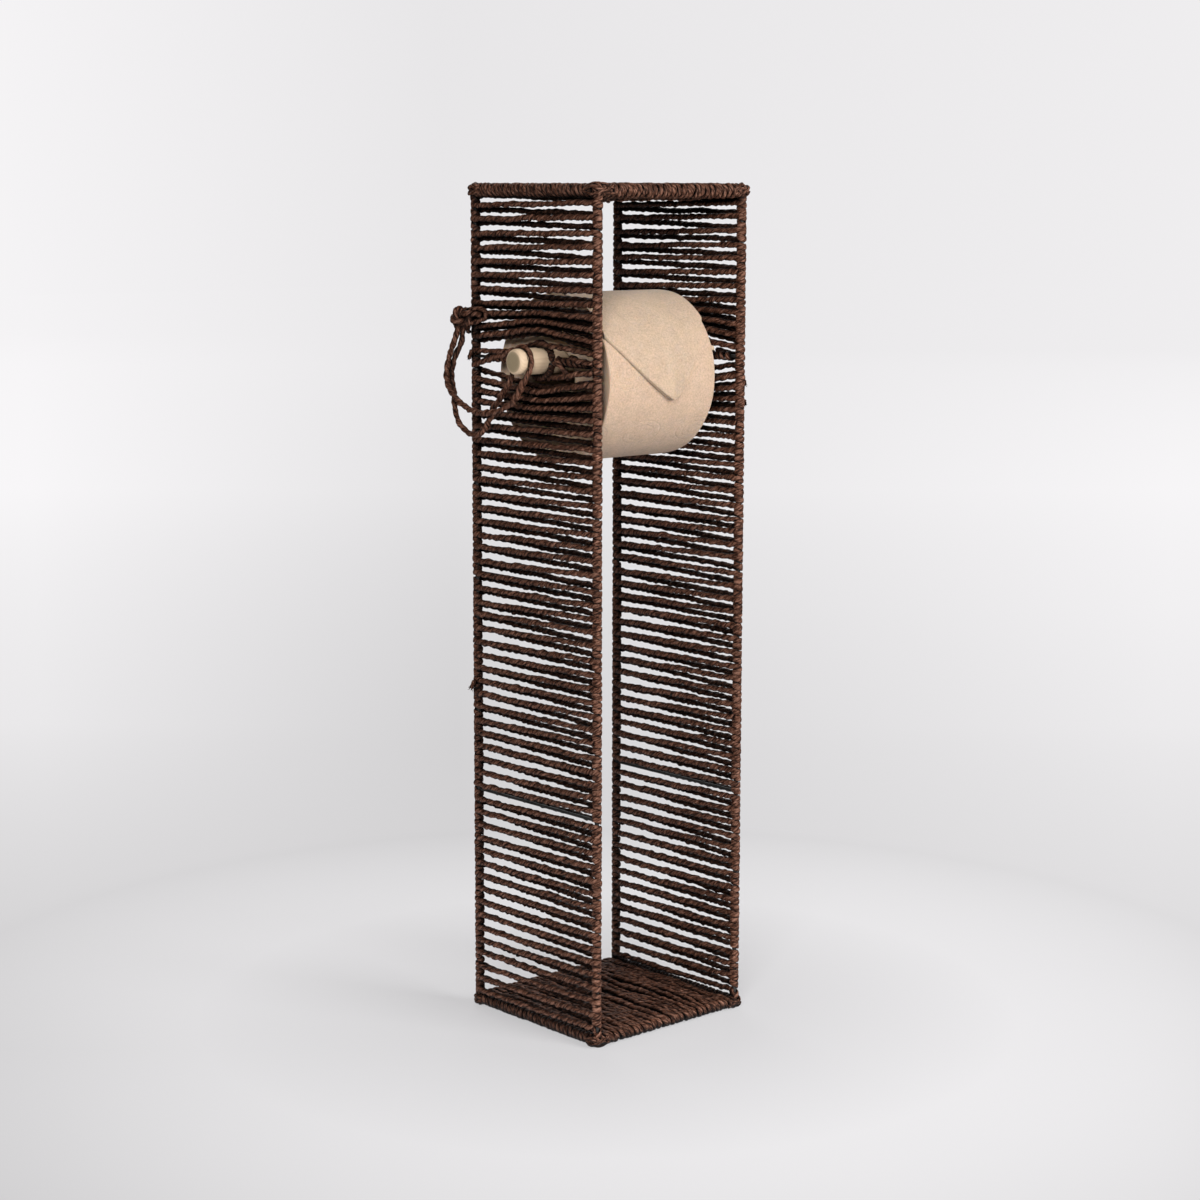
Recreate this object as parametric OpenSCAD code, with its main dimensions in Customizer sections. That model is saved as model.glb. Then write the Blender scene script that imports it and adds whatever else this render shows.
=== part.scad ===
// Free-standing holder for toilet rolls: a welded rod frame, two sides, a base and a
// top wound with paper cord, and a wooden dowel on a tether that carries one roll.

/* [Frame] */
// Overall height of the stand
height = 600; // [520:5:760]
// Distance between the left and right post axes
frame_w = 135; // [132:1:190]
// Distance between the front and back post axes
frame_d = 130; // [126:1:190]
// Diameter of the posts and the edge rods
rod_d = 3.2; // [2.8:0.1:3.6]
// Diameter of the thin cross rods
cross_rod_d = 2.2; // [1.8:0.1:2.3]
// Height of the low cross rods
cross_low_z = 163.5; // [100:0.5:220]
// Height of the middle cross rods
cross_mid_z = 322.5; // [260:0.5:380]

/* [Cord] */
// Diameter of the cord where it runs free
cord_d = 3.7; // [3:0.1:3.8]
// Thickness of the cord where it is pulled flat round a rod
wrap_t = 2; // [1.8:0.05:2.2]
// Width of the cord where it is pulled flat round a rod
wrap_w = 3; // [2.6:0.1:3.1]
// Rise from one turn to the next on a side
side_pitch = 9.7; // [9:0.1:12]
// Distance from one turn to the next on the base and the top
deck_pitch = 4.2; // [4.15:0.05:5]
// Distance from one turn to the next on the left and right edge rods
edge_pitch = 5.2; // [5:0.1:7]
// Depth of the flat that the base strands stand on
foot_flat = 0.5; // [0.4:0.1:0.8]

/* [Dowel] */
// Diameter of the dowel
dowel_d = 18.2; // [16:0.1:18.3]
// Length of dowel that stands out past the post axes on each side
dowel_overhang = 25; // [22:0.5:40]
// Distance of the dowel's axis below the top of the stand
dowel_drop = 121; // [105:1:150]
// Distance of the dowel's axis behind the middle of the frame
dowel_y = -6; // [-10:1:10]
// Distance from the dowel's end to the middle of its groove
groove_inset = 8.5; // [7:0.5:9]
// Width of the groove where it opens
groove_w = 5.6; // [5:0.1:6]
// Depth of the groove
groove_depth = 1.9; // [1.5:0.1:2.2]
// Diameter of the flat on each end
end_flat_d = 12.9; // [10:0.1:14]
// Length of each rounded shoulder
shoulder_l = 3.4; // [2:0.1:4]

/* [Dowel rings] */
// Wire diameter of the ring
ring_wire_d = 2.4; // [2:0.1:2.6]
// Thickness of the flattened cord round the ring
whip_t = 1.2; // [1:0.05:1.5]
// Width of the flattened cord round the ring
whip_w = 2.1; // [1.8:0.1:2.2]
// Number of turns round each ring
whip_turns = 22; // [18:1:22]

/* [Roll] */
// Outer diameter of the paper
roll_d = 117.4; // [90:0.2:118]
// Width of the roll
roll_w = 99; // [80:1:100]
// How far the roll has slid along the dowel towards the left side
roll_shift = 6; // [0:0.5:8]
// Inner diameter of the cardboard tube
core_d = 43.6; // [38:0.2:46]
// Wall of the cardboard tube
core_wall = 0.8; // [0.6:0.1:1.5]
// Thickness of the folded end that lies on the roll
flap_t = 0.6; // [0.4:0.1:1]

/* [Clearance] */
// Gap between the middle of a flat turn and the rod inside it
wrap_gap = 0.5; // [0.5:0.05:0.7]
// Gap between neighbours that only rest near one another
rest_gap = 0.3; // [0.2:0.05:0.5]
// Gap between the roll's tube and its paper
glue_gap = 0.05; // [0.02:0.01:0.1]

/* [Hidden] */
$fn = 32;
FRAME = "#17181a";
CORD = "#5c4237";
WOOD = "#dec4a0";
PAPER = "#dfc5a5";
CARD = "#8c7a5c";

rod_r = rod_d / 2;
cross_r = cross_rod_d / 2;
cord_r = cord_d / 2;
half_w = frame_w / 2;
half_d = frame_d / 2;

// A free run lies this far from the middle plane of its winding.
run_offset = rod_r + wrap_gap + wrap_t / 2;
// Straight piece between a flat turn and its free run, hidden inside both
leg_l = 3.4;
leg_r = 0.475 * wrap_t;
// A free run reaches this far over the leg that it grows from.
leg_lap = 0.5;
// Extra radius of the joint in a bent run
bend_extra = 0.1;

bottom_z = run_offset + cord_r - foot_flat;
top_z = height - run_offset - cord_r;
dowel_z = height - dowel_drop;

// Side windings: three half turns at each post, with both runs falling a little.
side_half_turns = 3;
side_step = side_pitch / 4;
// Radius of a wound edge rod, and the room that a side winding leaves over it
edge_out = run_offset + wrap_w / 2 + rest_gap;
side_low_z = bottom_z + edge_out + cord_r + side_step;
// The thin rods meet the posts halfway between the half turns on the inner side of the front
// and the back post, and the half turns give way a little more.
way_mid = 1.5 * side_step;
way_step = 2 * side_step;
side_first_z = dowel_z - way_mid - way_step * floor((dowel_z - way_mid - side_low_z) / way_step);
function between_turns(z) = dowel_z - way_step * round((dowel_z - z) / way_step);
cross_heights = [between_turns(cross_low_z), between_turns(cross_mid_z), dowel_z];
way_tilt = atan2(side_step / 2, run_offset);
way_room = max(0, (wrap_w / 2 + cross_r + rest_gap) / cos(way_tilt) - side_step);
way_reach = 4 * side_pitch;
function sum_of(v, i = 0) = i == len(v) ? 0 : v[i] + sum_of(v, i + 1);
function give_way(z) = sum_of([for (h = cross_heights)
    let (off = z - h) sign(off) * way_room * max(0, 1 - max(0, abs(off) - side_step) / way_reach)]);
side_last_z = top_z - edge_out - cord_r - side_pitch;
side_turns = floor((side_last_z - side_first_z) / side_pitch);

// The dowel ring and the strands that are bent round it
whip_rings = 8;
whip_mean_r = (ring_wire_d / 2 + glue_gap + whip_t / 2) / cos(180 / whip_rings);
ring_tube_r = whip_mean_r + whip_t / 2;
ring_r = dowel_d / 2 + rest_gap + ring_tube_r;
ring_out_r = ring_r + ring_tube_r;
bend_reach = 50;
bend_crest = ring_out_r + cord_r + 2 * rest_gap;
bend_spread_share = 1 - bend_crest / bend_reach;
ring_first = ceil((dowel_z - bend_reach - side_first_z) / side_pitch);
ring_last = floor((dowel_z + bend_reach - side_first_z) / side_pitch);
middle_first = floor(ring_first / 2);

// Base and top windings: one half turn at each rod, with level runs.
deck_step = deck_pitch / 2;
deck_half = half_w - edge_out - cord_r;
deck_turns = floor((2 * deck_half - deck_pitch) / deck_pitch);
// One lower run lies in the middle, so that the stand rests on it at the origin.
deck_middle = floor(deck_turns / 2);
deck_first_x = -deck_middle * deck_pitch;

// Edge windings: a plain helix along each left and right edge rod.
edge_step = edge_pitch / 2;
edge_turns = min(24, floor((frame_d - 2 * (rod_r + cord_r)) / edge_pitch));

// Winding round the carrier rod on both sides of the ring
carrier_wrap_mean_r = cross_r + wrap_gap + glue_gap + wrap_t / 2;
carrier_pitch = 4.4;
carrier_turns_front = 4;
carrier_turns_back = 7;

dowel_r = dowel_d / 2;
dowel_l = frame_w + 2 * dowel_overhang;
core_r = core_d / 2;
// The roll stays clear of the side windings
roll_side_room = 11.5;
roll_left_x = -roll_w / 2 - max(0, min(roll_shift, (frame_w - roll_w) / 2 - roll_side_room));
roll_r = roll_d / 2;
// The roll hangs on top of the dowel.
roll_z = dowel_z + dowel_r + rest_gap - core_r;

// Tether: a doubled cord from the knot on the back left post to the dowel's groove.
knot_r = 6.5;
knot_out = 12.5;
knot_forward = 2.5;
knot_rise = 24;
knot_at = [-half_w - knot_out, half_d - knot_forward, dowel_z + knot_rise];
knot_turn_gap = 4.8;
tether_sides = 8;
tether_route = [
    [-82.2, 67.4, 497.8], [-81, 71, 491], [-80, 76.6, 483], [-83, 78.7, 469.6],
    [-85, 75.7, 460], [-86, 70, 453.5], [-87, 62, 448.6], [-88, 52, 444.5],
    [-88.5, 42, 442.2], [-89, 32, 441.4], [-89, 22, 442.6], [-89, 10, 445.5],
    [-89, -1, 451], [-89, -7, 456.6], [-88.6, -10.5, 463], [-86.8, -14.2, 469.5],
    [-85, -15.8, 475], [-84, -15.6, 480.5], [-84, -13, 486.1], [-84, -6, 489.1],
    [-84, 1, 486.1], [-84, 3.9, 480], [-84, 4.4, 473], [-84, 6.6, 466],
    [-84, 11.4, 459.9], [-84, 18, 453], [-84.4, 25, 444.5], [-85, 29.6, 436],
    [-85.5, 34.5, 429], [-86, 42.4, 425.4], [-85.6, 52, 426.2], [-84.8, 61.4, 430.6],
    [-83.6, 68, 437.5], [-82.6, 71, 445], [-81.4, 72.6, 453], [-80, 75.6, 461],
    [-78.6, 76.4, 470], [-77, 73.4, 480], [-76.6, 68.4, 489], [-77.5, 65, 496.7]
];

// A half turn of flat cord round an axis along Z, from +X over +Y to -X, climbing by step
module half_turn(mean_r, step) {
    tilted_r = norm([mean_r, step / 2]);
    translate([0, 0, step / 2])
        rotate([0, atan2(step / 2, mean_r), 0])
            rotate_extrude(angle = 180)
                translate([tilted_r, 0])
                    square([wrap_t, wrap_w], center = true);
}

// Half turns in a row, the first one on the +Y side
module half_turns(count, mean_r, step) {
    for (k = [0 : count - 1])
        translate([0, 0, k * step])
            rotate([0, 0, 180 * k])
                half_turn(mean_r, step);
}

// A round bar between two points
module bar(from, to, radius) {
    reach = to - from;
    translate(from)
        rotate([0, acos(reach[2] / norm(reach)), atan2(reach[1], reach[0])])
            cylinder(r = radius, h = norm(reach));
}

// A free run between two posts, from y0 to y1, bent over or under the dowel ring if asked
function bend_z(z) = let (off = z - dowel_z)
    dowel_z + sign(off) * (bend_crest + bend_spread_share * abs(off));

module free_run(x, y0, z0, y1, z1, bent) {
    toward = sign(y1 - y0);
    start = [x, y0 + toward * (leg_l - leg_lap), z0];
    end = [x, y1 - toward * (leg_l - leg_lap), z1];
    if (bent) {
        share = (dowel_y - y0) / (y1 - y0);
        crest = [x, dowel_y, bend_z(z0 + (z1 - z0) * share)];
        bar(start, crest, cord_r);
        bar(end, crest, cord_r);
        translate(crest)
            sphere(r = cord_r + bend_extra);
    } else {
        bar(start, end, cord_r);
    }
}

// The straight tight piece that joins a run to the turns at a post
module leg(x, y, z, toward) {
    translate([x, y, z])
        rotate([toward > 0 ? -90 : 90, 0, 0])
            cylinder(r = leg_r, h = leg_l);
}

// Heights of one full turn: outer run at the front and the back, inner run at the back and the front
function turn_heights(z) = let (
        before = give_way(z - 1.5 * side_step),
        back = give_way(z + 0.5 * side_step),
        front = give_way(z + 2.5 * side_step))
    [z + before, z - side_step + back, z + 2 * side_step + back, z + side_step + front];

// One full turn of a side winding, with its outer run on the +X side
module side_turn(z, bent) {
    h = turn_heights(z);
    leg(run_offset, -half_d, h[0], 1);
    free_run(run_offset, -half_d, h[0], half_d, h[1], bent);
    leg(run_offset, half_d, h[1], -1);
    translate([0, half_d, h[1]])
        half_turns(side_half_turns, run_offset, side_step);
    leg(-run_offset, half_d, h[2], -1);
    free_run(-run_offset, half_d, h[2], -half_d, h[3], bent);
    leg(-run_offset, -half_d, h[3], 1);
    translate([0, -half_d, h[3]])
        rotate([0, 0, 180])
            half_turns(side_half_turns, run_offset, side_step);
}

// Turns first to last of the right side winding
module side_winding(first, last, bent = false) {
    color(CORD)
        translate([half_w, 0, 0])
            for (i = [first : last])
                side_turn(side_first_z + i * side_pitch, bent);
}

module on_left() {
    mirror([1, 0, 0])
        children();
}

// One turn of the base winding: the lower run, a half turn, the upper run, a half turn
module deck_turn(x) {
    translate([x, 0, 0])
        rotate([0, 90, 0]) {
            leg(run_offset, -half_d, 0, 1);
            free_run(run_offset, -half_d, 0, half_d, 0, false);
            leg(run_offset, half_d, 0, -1);
            translate([0, half_d, 0])
                half_turn(run_offset, deck_step);
            leg(-run_offset, half_d, deck_step, -1);
            free_run(-run_offset, half_d, deck_step, -half_d, deck_step, false);
            leg(-run_offset, -half_d, deck_step, 1);
            translate([0, -half_d, deck_step])
                rotate([0, 0, 180])
                    half_turn(run_offset, deck_step);
        }
}

module deck_winding(first, last) {
    for (i = [first : last])
        deck_turn(deck_first_x + i * deck_pitch);
}

// The base strands are cut flat where they stand.
module base_winding(first, last) {
    color(CORD)
        difference() {
            translate([0, 0, bottom_z])
                deck_winding(first, last);
            translate([-frame_w, -frame_d, -cord_d])
                cube([2 * frame_w, 2 * frame_d, cord_d]);
        }
}

module top_winding(first, last) {
    color(CORD)
        translate([0, 0, top_z])
            mirror([0, 0, 1])
                deck_winding(first, last);
}

module edge_winding(x, z) {
    color(CORD)
        translate([x, -edge_turns * edge_pitch / 2, z])
            rotate([-90, 0, 0])
                half_turns(2 * edge_turns, run_offset, edge_step);
}

module post(x, y) {
    color(FRAME)
        translate([x, y, bottom_z - rod_r])
            cylinder(r = rod_r, h = top_z - bottom_z + rod_d);
}

// An edge rod or a cross rod along Y, butted between two posts
module depth_rod(x, z, radius) {
    color(FRAME)
        bar([x, -half_d + rod_r, z], [x, half_d - rod_r, z], radius);
}

module width_rod(y, z) {
    color(FRAME)
        bar([-half_w + rod_r, y, z], [half_w - rod_r, y, z], rod_r);
}

// Two short rods that carry the dowel ring between the posts
module carrier_rod(x) {
    color(FRAME) {
        bar([x, -half_d + rod_r, dowel_z], [x, dowel_y - ring_r - ring_wire_d / 2, dowel_z], cross_r);
        bar([x, dowel_y + ring_r + ring_wire_d / 2, dowel_z], [x, half_d - rod_r, dowel_z], cross_r);
    }
}

module carrier_ring(x) {
    color(FRAME)
        translate([x, dowel_y, dowel_z])
            rotate([0, 90, 0])
                rotate_extrude()
                    translate([ring_r, 0])
                        circle(d = ring_wire_d);
}

// Short helices on the carrier rod, from just outside the ring toward each post
module carrier_whipping(x) {
    start = ring_out_r + rest_gap + wrap_w / 2;
    color(CORD)
        translate([x, dowel_y, dowel_z]) {
            translate([0, start, 0])
                rotate([-90, 0, 0])
                    half_turns(2 * carrier_turns_back, carrier_wrap_mean_r, carrier_pitch / 2);
            translate([0, -start, 0])
                rotate([90, 0, 0])
                    half_turns(2 * carrier_turns_front, carrier_wrap_mean_r, carrier_pitch / 2);
        }
}

// Ring whipping: a flattened cord wound round the ring wire in one unbroken tube.
// It starts and ends at the front of the ring, and both there and at the back it crosses
// from one side of the carrier rod to the other on the inside of the ring.
whip_sides = 6;
whip_gap_angle = 16;
whip_part_angle = 9;
function eased(t) = let (c = min(1, max(0, t))) c * c * (3 - 2 * c);
function whip_angle(s) = 180 + whip_gap_angle / 2 + (360 - whip_gap_angle - whip_part_angle) * s
    + whip_part_angle * eased((s - 0.5) * 2 * whip_turns + 0.5);
function whip_turned(s) = 180 + 360 * whip_turns * (s - 0.5);
function whip_centre(s) = let (a = whip_angle(s), b = whip_turned(s), r = ring_r + whip_mean_r * cos(b))
    [whip_mean_r * sin(b), r * cos(a), r * sin(a)];
function whip_out(s) = let (a = whip_angle(s), b = whip_turned(s))
    [sin(b), cos(b) * cos(a), cos(b) * sin(a)];
function unit(v) = v / norm(v);

// A closed tube through frames of [centre, first half axis, second half axis]
module swept_tube(frames, sides) {
    last = len(frames) - 1;
    points = [for (f = frames, k = [0 : sides - 1])
        f[0] + f[1] * cos(360 * k / sides) + f[2] * sin(360 * k / sides)];
    walls = [for (i = [0 : last - 1], k = [0 : sides - 1])
        let (a = i * sides + k, b = i * sides + (k + 1) % sides)
            each [[a, b, b + sides], [a, b + sides, a + sides]]];
    first_cap = [for (k = [1 : sides - 2]) [0, k + 1, k]];
    last_cap = [for (k = [1 : sides - 2]) [last * sides, last * sides + k, last * sides + k + 1]];
    polyhedron(points = points, faces = concat(walls, first_cap, last_cap));
}

whip_count = whip_turns * whip_rings;
function whip_frame(i) = let (
        s = i / whip_count,
        nudge = 1 / (8 * whip_count),
        along = unit(whip_centre(s + nudge) - whip_centre(s - nudge)),
        out = whip_out(s),
        side = unit(cross(along, out)))
    [whip_centre(s), side * whip_w / 2, unit(cross(side, along)) * whip_t / 2];

module ring_whipping(x) {
    color(CORD)
        translate([x, dowel_y, dowel_z])
            swept_tube([for (i = [0 : whip_count]) whip_frame(i)], whip_sides);
}

// The tether, with frames that turn as little as they can along the route
function tangent_at(route, i) =
    unit(route[min(i + 1, len(route) - 1)] - route[max(i - 1, 0)]);
function carried(normal, along) = unit(normal - along * (normal * along));
function tether_normals(route, i = 0, normal = [1, 0, 0]) =
    i == len(route) ? [] :
    let (next = carried(normal, tangent_at(route, i)))
        concat([next], tether_normals(route, i + 1, next));

module tether_loop() {
    normals = tether_normals(tether_route);
    color(CORD)
        swept_tube([for (i = [0 : len(tether_route) - 1])
            [tether_route[i], normals[i] * cord_r, cross(tangent_at(tether_route, i), normals[i]) * cord_r]],
            tether_sides);
}

// The knot: a ball outside the back left post, and two strands that hold it round the post
module tether_knot() {
    hold_r = run_offset + wrap_w / 2 + rest_gap + cord_r;
    color(CORD) {
        translate(knot_at)
            sphere(r = knot_r);
        for (dz = [-1, 1])
            translate([-half_w, half_d, knot_at[2] + dz * knot_turn_gap / 2])
                rotate_extrude(angle = 180)
                    translate([hold_r, 0])
                        circle(r = cord_r);
    }
}

// Short cut ends of the cord that lie against the wound posts: corner signs, and the height
// over the dowel in turns of the side winding
end_stub_l = 8;
end_stub_r = 1.3;
end_stub_lean = 5;
end_stub_shares = [[-1, 1, 0.41], [1, -1, -1.75], [1, -1, -3.2], [-1, 1, -24.2]];
module cord_ends() {
    away = run_offset + wrap_w / 2 + end_stub_r;
    color(CORD)
        for (stub = end_stub_shares)
            translate([stub[0] * (half_w + away), stub[1] * half_d, dowel_z + stub[2] * side_pitch])
                rotate([0, -stub[0] * end_stub_lean, 0])
                    translate([0, 0, -end_stub_l])
                        cylinder(r = end_stub_r, h = end_stub_l);
}

// Half of the dowel's profile at one end, as [distance from the end, radius]
shoulder_steps = 6;
function shoulder_point(k) = let (a = 90 * k / shoulder_steps)
    [shoulder_l * (1 - cos(a)), end_flat_d / 2 + (dowel_r - end_flat_d / 2) * sin(a)];
groove_cut_r = (pow(groove_w / 2, 2) + pow(groove_depth, 2)) / (2 * groove_depth);

module dowel() {
    profile = concat([[0, 0]],
        [for (k = [0 : shoulder_steps]) shoulder_point(k)],
        [for (k = [shoulder_steps : -1 : 0]) let (p = shoulder_point(k)) [dowel_l - p[0], p[1]]],
        [[dowel_l, 0]]);
    color(WOOD)
        translate([-dowel_l / 2, dowel_y, dowel_z])
            rotate([0, 90, 0])
                difference() {
                    rotate_extrude()
                        polygon([for (p = profile) [p[1], p[0]]]);
                    for (z = [groove_inset, dowel_l - groove_inset])
                        translate([0, 0, z])
                            rotate_extrude()
                                translate([dowel_r - groove_depth + groove_cut_r, 0])
                                    circle(r = groove_cut_r);
                }
}

module roll_place() {
    translate([roll_left_x, dowel_y, roll_z])
        rotate([0, 90, 0])
            children();
}

bore_overrun = 1;
module hollow_roll(outer_r, inner_r) {
    roll_place()
        difference() {
            cylinder(r = outer_r, h = roll_w, $fn = 96);
            translate([0, 0, -bore_overrun])
                cylinder(r = inner_r, h = roll_w + 2 * bore_overrun, $fn = 96);
        }
}

module roll_paper() {
    color(PAPER)
        hollow_roll(roll_r, core_r + core_wall + glue_gap);
}

module roll_core() {
    color(CARD)
        hollow_roll(core_r + core_wall, core_r);
}

// The loose end: a sheet round the top of the roll, folded to a point at the front.
// Angles are measured at the roll's axis, up from straight ahead.
flap_tip_angle = -15;
flap_left_angle = 30;
flap_right_angle = 34;
flap_back_angle = 100;
flap_tip_share = 0.58;
flap_edge_share = 0.02;
module roll_end_flap() {
    inner_r = roll_r + glue_gap;
    margin = roll_w * flap_edge_share;
    left = margin;
    right = roll_w - margin;
    tip = roll_w * flap_tip_share;
    tip_z = inner_r * sin(flap_tip_angle);
    left_z = inner_r * sin(flap_left_angle);
    right_z = inner_r * sin(flap_right_angle);
    color(PAPER)
        translate([roll_left_x, dowel_y, roll_z])
            intersection() {
                rotate([0, 90, 0])
                    rotate([0, 0, -90 - flap_back_angle])
                        rotate_extrude(angle = flap_back_angle - 1.5 * flap_tip_angle, $fn = 96)
                            translate([inner_r, 0])
                                square([flap_t, roll_w]);
                translate([0, roll_d, 0])
                    rotate([90, 0, 0])
                        linear_extrude(2 * roll_d)
                            polygon([[left, left_z], [tip, tip_z], [right, right_z], [right, roll_d], [left, roll_d]]);
            }
}

// Least gap of a winding to itself: points on three turns, each with the tube's radius there
function half_turn_points(centre, turned, step, z) = [for (k = [0 : 6])
    let (a = 180 * k / 7 + (turned ? 180 : 0))
        [run_offset * cos(a), centre + run_offset * sin(a), z + step * k / 7, wrap_w / 2]];
function run_points(x, y0, z0, y1, z1, bent) = let (
        share_bend = (dowel_y - y0) / (y1 - y0),
        crest = bend_z(z0 + (z1 - z0) * share_bend))
    [for (k = [0 : 40]) let (s = k / 40, straight = z0 + (z1 - z0) * s)
        [x, y0 + (y1 - y0) * s,
            bent ? (s < share_bend ? z0 + (crest - z0) * s / share_bend
                : crest + (z1 - crest) * (s - share_bend) / (1 - share_bend)) : straight,
            k < 2 || k > 38 ? leg_r : cord_r]];
function side_turn_points(z, bent) = let (h = turn_heights(z)) concat(
    run_points(run_offset, -half_d, h[0], half_d, h[1], bent),
    [for (j = [0 : 2]) each half_turn_points(half_d, j == 1, side_step, h[1] + j * side_step)],
    run_points(-run_offset, half_d, h[2], -half_d, h[3], bent),
    [for (j = [0 : 2]) each half_turn_points(-half_d, j != 1, side_step, h[3] + j * side_step)]);
function deck_turn_points(z) = concat(
    run_points(run_offset, -half_d, z, half_d, z, false),
    half_turn_points(half_d, false, deck_step, z),
    run_points(-run_offset, half_d, z + deck_step, -half_d, z + deck_step, false),
    half_turn_points(-half_d, true, deck_step, z + deck_step));
function place(p) = [p[0], p[1], p[2]];
function least_gap(points, apart) = min([for (i = [0 : len(points) - 1 - apart], j = [i + apart : len(points) - 1])
    norm(place(points[i]) - place(points[j])) - points[i][3] - points[j][3]]);
whip_points = [for (i = [0 : 3 * whip_rings]) concat(whip_centre(i / whip_count), [whip_w / 2])];
ring_turn_z = side_first_z + ceil((dowel_z - side_first_z) / side_pitch) * side_pitch;
union() {
    echo(side_winding_gap = least_gap(concat(side_turn_points(side_first_z, false),
        side_turn_points(side_first_z + side_pitch, false)), 6));
    echo(ring_zone_gap = least_gap(concat(side_turn_points(ring_turn_z, true),
        side_turn_points(ring_turn_z + side_pitch, true)), 6));
    echo(deck_winding_gap = least_gap(concat(deck_turn_points(0), deck_turn_points(deck_pitch)), 8));
    echo(ring_whipping_gap = least_gap(whip_points, whip_rings - 1));
    echo(side_turns = side_turns, ring_first = ring_first, ring_last = ring_last, deck_turns = deck_turns);
}

post(-half_w, -half_d);  // post_front_left
post(half_w, -half_d);  // post_front_right
post(-half_w, half_d);  // post_back_left
post(half_w, half_d);  // post_back_right
depth_rod(-half_w, bottom_z, rod_r);  // bottom_rod_left
depth_rod(half_w, bottom_z, rod_r);  // bottom_rod_right
width_rod(-half_d, bottom_z);  // bottom_rod_front
width_rod(half_d, bottom_z);  // bottom_rod_back
depth_rod(-half_w, top_z, rod_r);  // top_rod_left
depth_rod(half_w, top_z, rod_r);  // top_rod_right
width_rod(-half_d, top_z);  // top_rod_front
width_rod(half_d, top_z);  // top_rod_back
depth_rod(-half_w, cross_heights[0], cross_r);  // cross_rod_left_low
depth_rod(-half_w, cross_heights[1], cross_r);  // cross_rod_left_mid
depth_rod(half_w, cross_heights[0], cross_r);  // cross_rod_right_low
depth_rod(half_w, cross_heights[1], cross_r);  // cross_rod_right_mid
carrier_rod(-half_w);  // carrier_rod_left
carrier_rod(half_w);  // carrier_rod_right
carrier_ring(-half_w);  // carrier_ring_left
carrier_ring(half_w);  // carrier_ring_right
on_left() ring_whipping(half_w);  // ring_whipping_left
ring_whipping(half_w);  // ring_whipping_right
carrier_whipping(-half_w);  // carrier_whipping_left
carrier_whipping(half_w);  // carrier_whipping_right
on_left() side_winding(0, middle_first - 1);  // left_winding_lower
on_left() side_winding(middle_first, ring_first - 1);  // left_winding_middle
on_left() side_winding(ring_first, ring_last, true);  // left_winding_ring
on_left() side_winding(ring_last + 1, side_turns);  // left_winding_upper
side_winding(0, middle_first - 1);  // right_winding_lower
side_winding(middle_first, ring_first - 1);  // right_winding_middle
side_winding(ring_first, ring_last, true);  // right_winding_ring
side_winding(ring_last + 1, side_turns);  // right_winding_upper
base_winding(0, deck_middle - 1);  // base_winding_left
base_winding(deck_middle, deck_turns - 1);  // base_winding_right
top_winding(0, deck_middle - 1);  // top_winding_left
top_winding(deck_middle, deck_turns - 1);  // top_winding_right
edge_winding(-half_w, bottom_z);  // edge_winding_bottom_left
edge_winding(half_w, bottom_z);  // edge_winding_bottom_right
edge_winding(-half_w, top_z);  // edge_winding_top_left
edge_winding(half_w, top_z);  // edge_winding_top_right
cord_ends();
tether_knot();
tether_loop();
dowel();
roll_paper();
roll_core();
roll_end_flap();
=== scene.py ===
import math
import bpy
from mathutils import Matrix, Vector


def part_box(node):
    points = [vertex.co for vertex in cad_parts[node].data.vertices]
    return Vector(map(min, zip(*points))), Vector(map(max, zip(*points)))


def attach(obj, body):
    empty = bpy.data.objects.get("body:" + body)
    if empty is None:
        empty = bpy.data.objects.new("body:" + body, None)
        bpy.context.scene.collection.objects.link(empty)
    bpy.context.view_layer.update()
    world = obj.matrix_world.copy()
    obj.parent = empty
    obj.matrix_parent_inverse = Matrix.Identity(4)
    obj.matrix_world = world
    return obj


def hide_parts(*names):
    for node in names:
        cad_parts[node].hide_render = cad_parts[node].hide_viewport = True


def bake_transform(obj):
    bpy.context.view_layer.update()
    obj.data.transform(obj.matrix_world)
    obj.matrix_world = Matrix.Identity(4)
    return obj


bl_info = {
    "name": "Corded Roll Holder",
    "version": (1, 0, 0),
    "blender": (4, 5, 0),
    "location": "View3D > Sidebar > Roll Holder",
    "description": "Winds, knots, turns and rolls the parts of a free-standing toilet roll holder",
    "category": "Object",
}

import bpy
import numpy as np
from mathutils import Matrix, Vector

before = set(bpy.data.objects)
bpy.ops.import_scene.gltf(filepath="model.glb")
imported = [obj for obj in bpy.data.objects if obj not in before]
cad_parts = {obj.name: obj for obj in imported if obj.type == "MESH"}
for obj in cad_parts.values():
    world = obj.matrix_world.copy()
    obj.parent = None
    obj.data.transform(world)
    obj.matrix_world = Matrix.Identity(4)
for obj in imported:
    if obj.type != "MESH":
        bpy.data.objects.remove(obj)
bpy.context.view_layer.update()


def middle_of(node):
    """The middle of a solid's box."""
    low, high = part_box(node)
    return (low + high) / 2


def in_metres(route):
    """A route of points that are written in tenths of a millimetre."""
    return [tuple(n / 10000 for n in point) for point in route]


# The frame's own places, in metres, read from the solids
POST = middle_of("post_back_right")
HALF_W = POST.x
HALF_D = POST.y
BOTTOM_Z = middle_of("bottom_rod_left").z
TOP_Z = middle_of("top_rod_left").z
RING = middle_of("carrier_ring_right")
DOWEL_Y = RING.y
DOWEL_Z = RING.z
ROLL_LOW, ROLL_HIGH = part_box("roll_paper")
ROLL_Z = (ROLL_LOW.z + ROLL_HIGH.z) / 2
ROLL_R = (ROLL_HIGH.z - ROLL_LOW.z) / 2
CORE_LOW, CORE_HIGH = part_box("roll_core")
CORE_R = (CORE_HIGH.z - CORE_LOW.z) / 2
DOWEL_LOW, DOWEL_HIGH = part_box("dowel")
DOWEL_R = (DOWEL_HIGH.z - DOWEL_LOW.z) / 2
CROSS_Z = (middle_of("cross_rod_left_low").z, middle_of("cross_rod_left_mid").z, DOWEL_Z)

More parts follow.
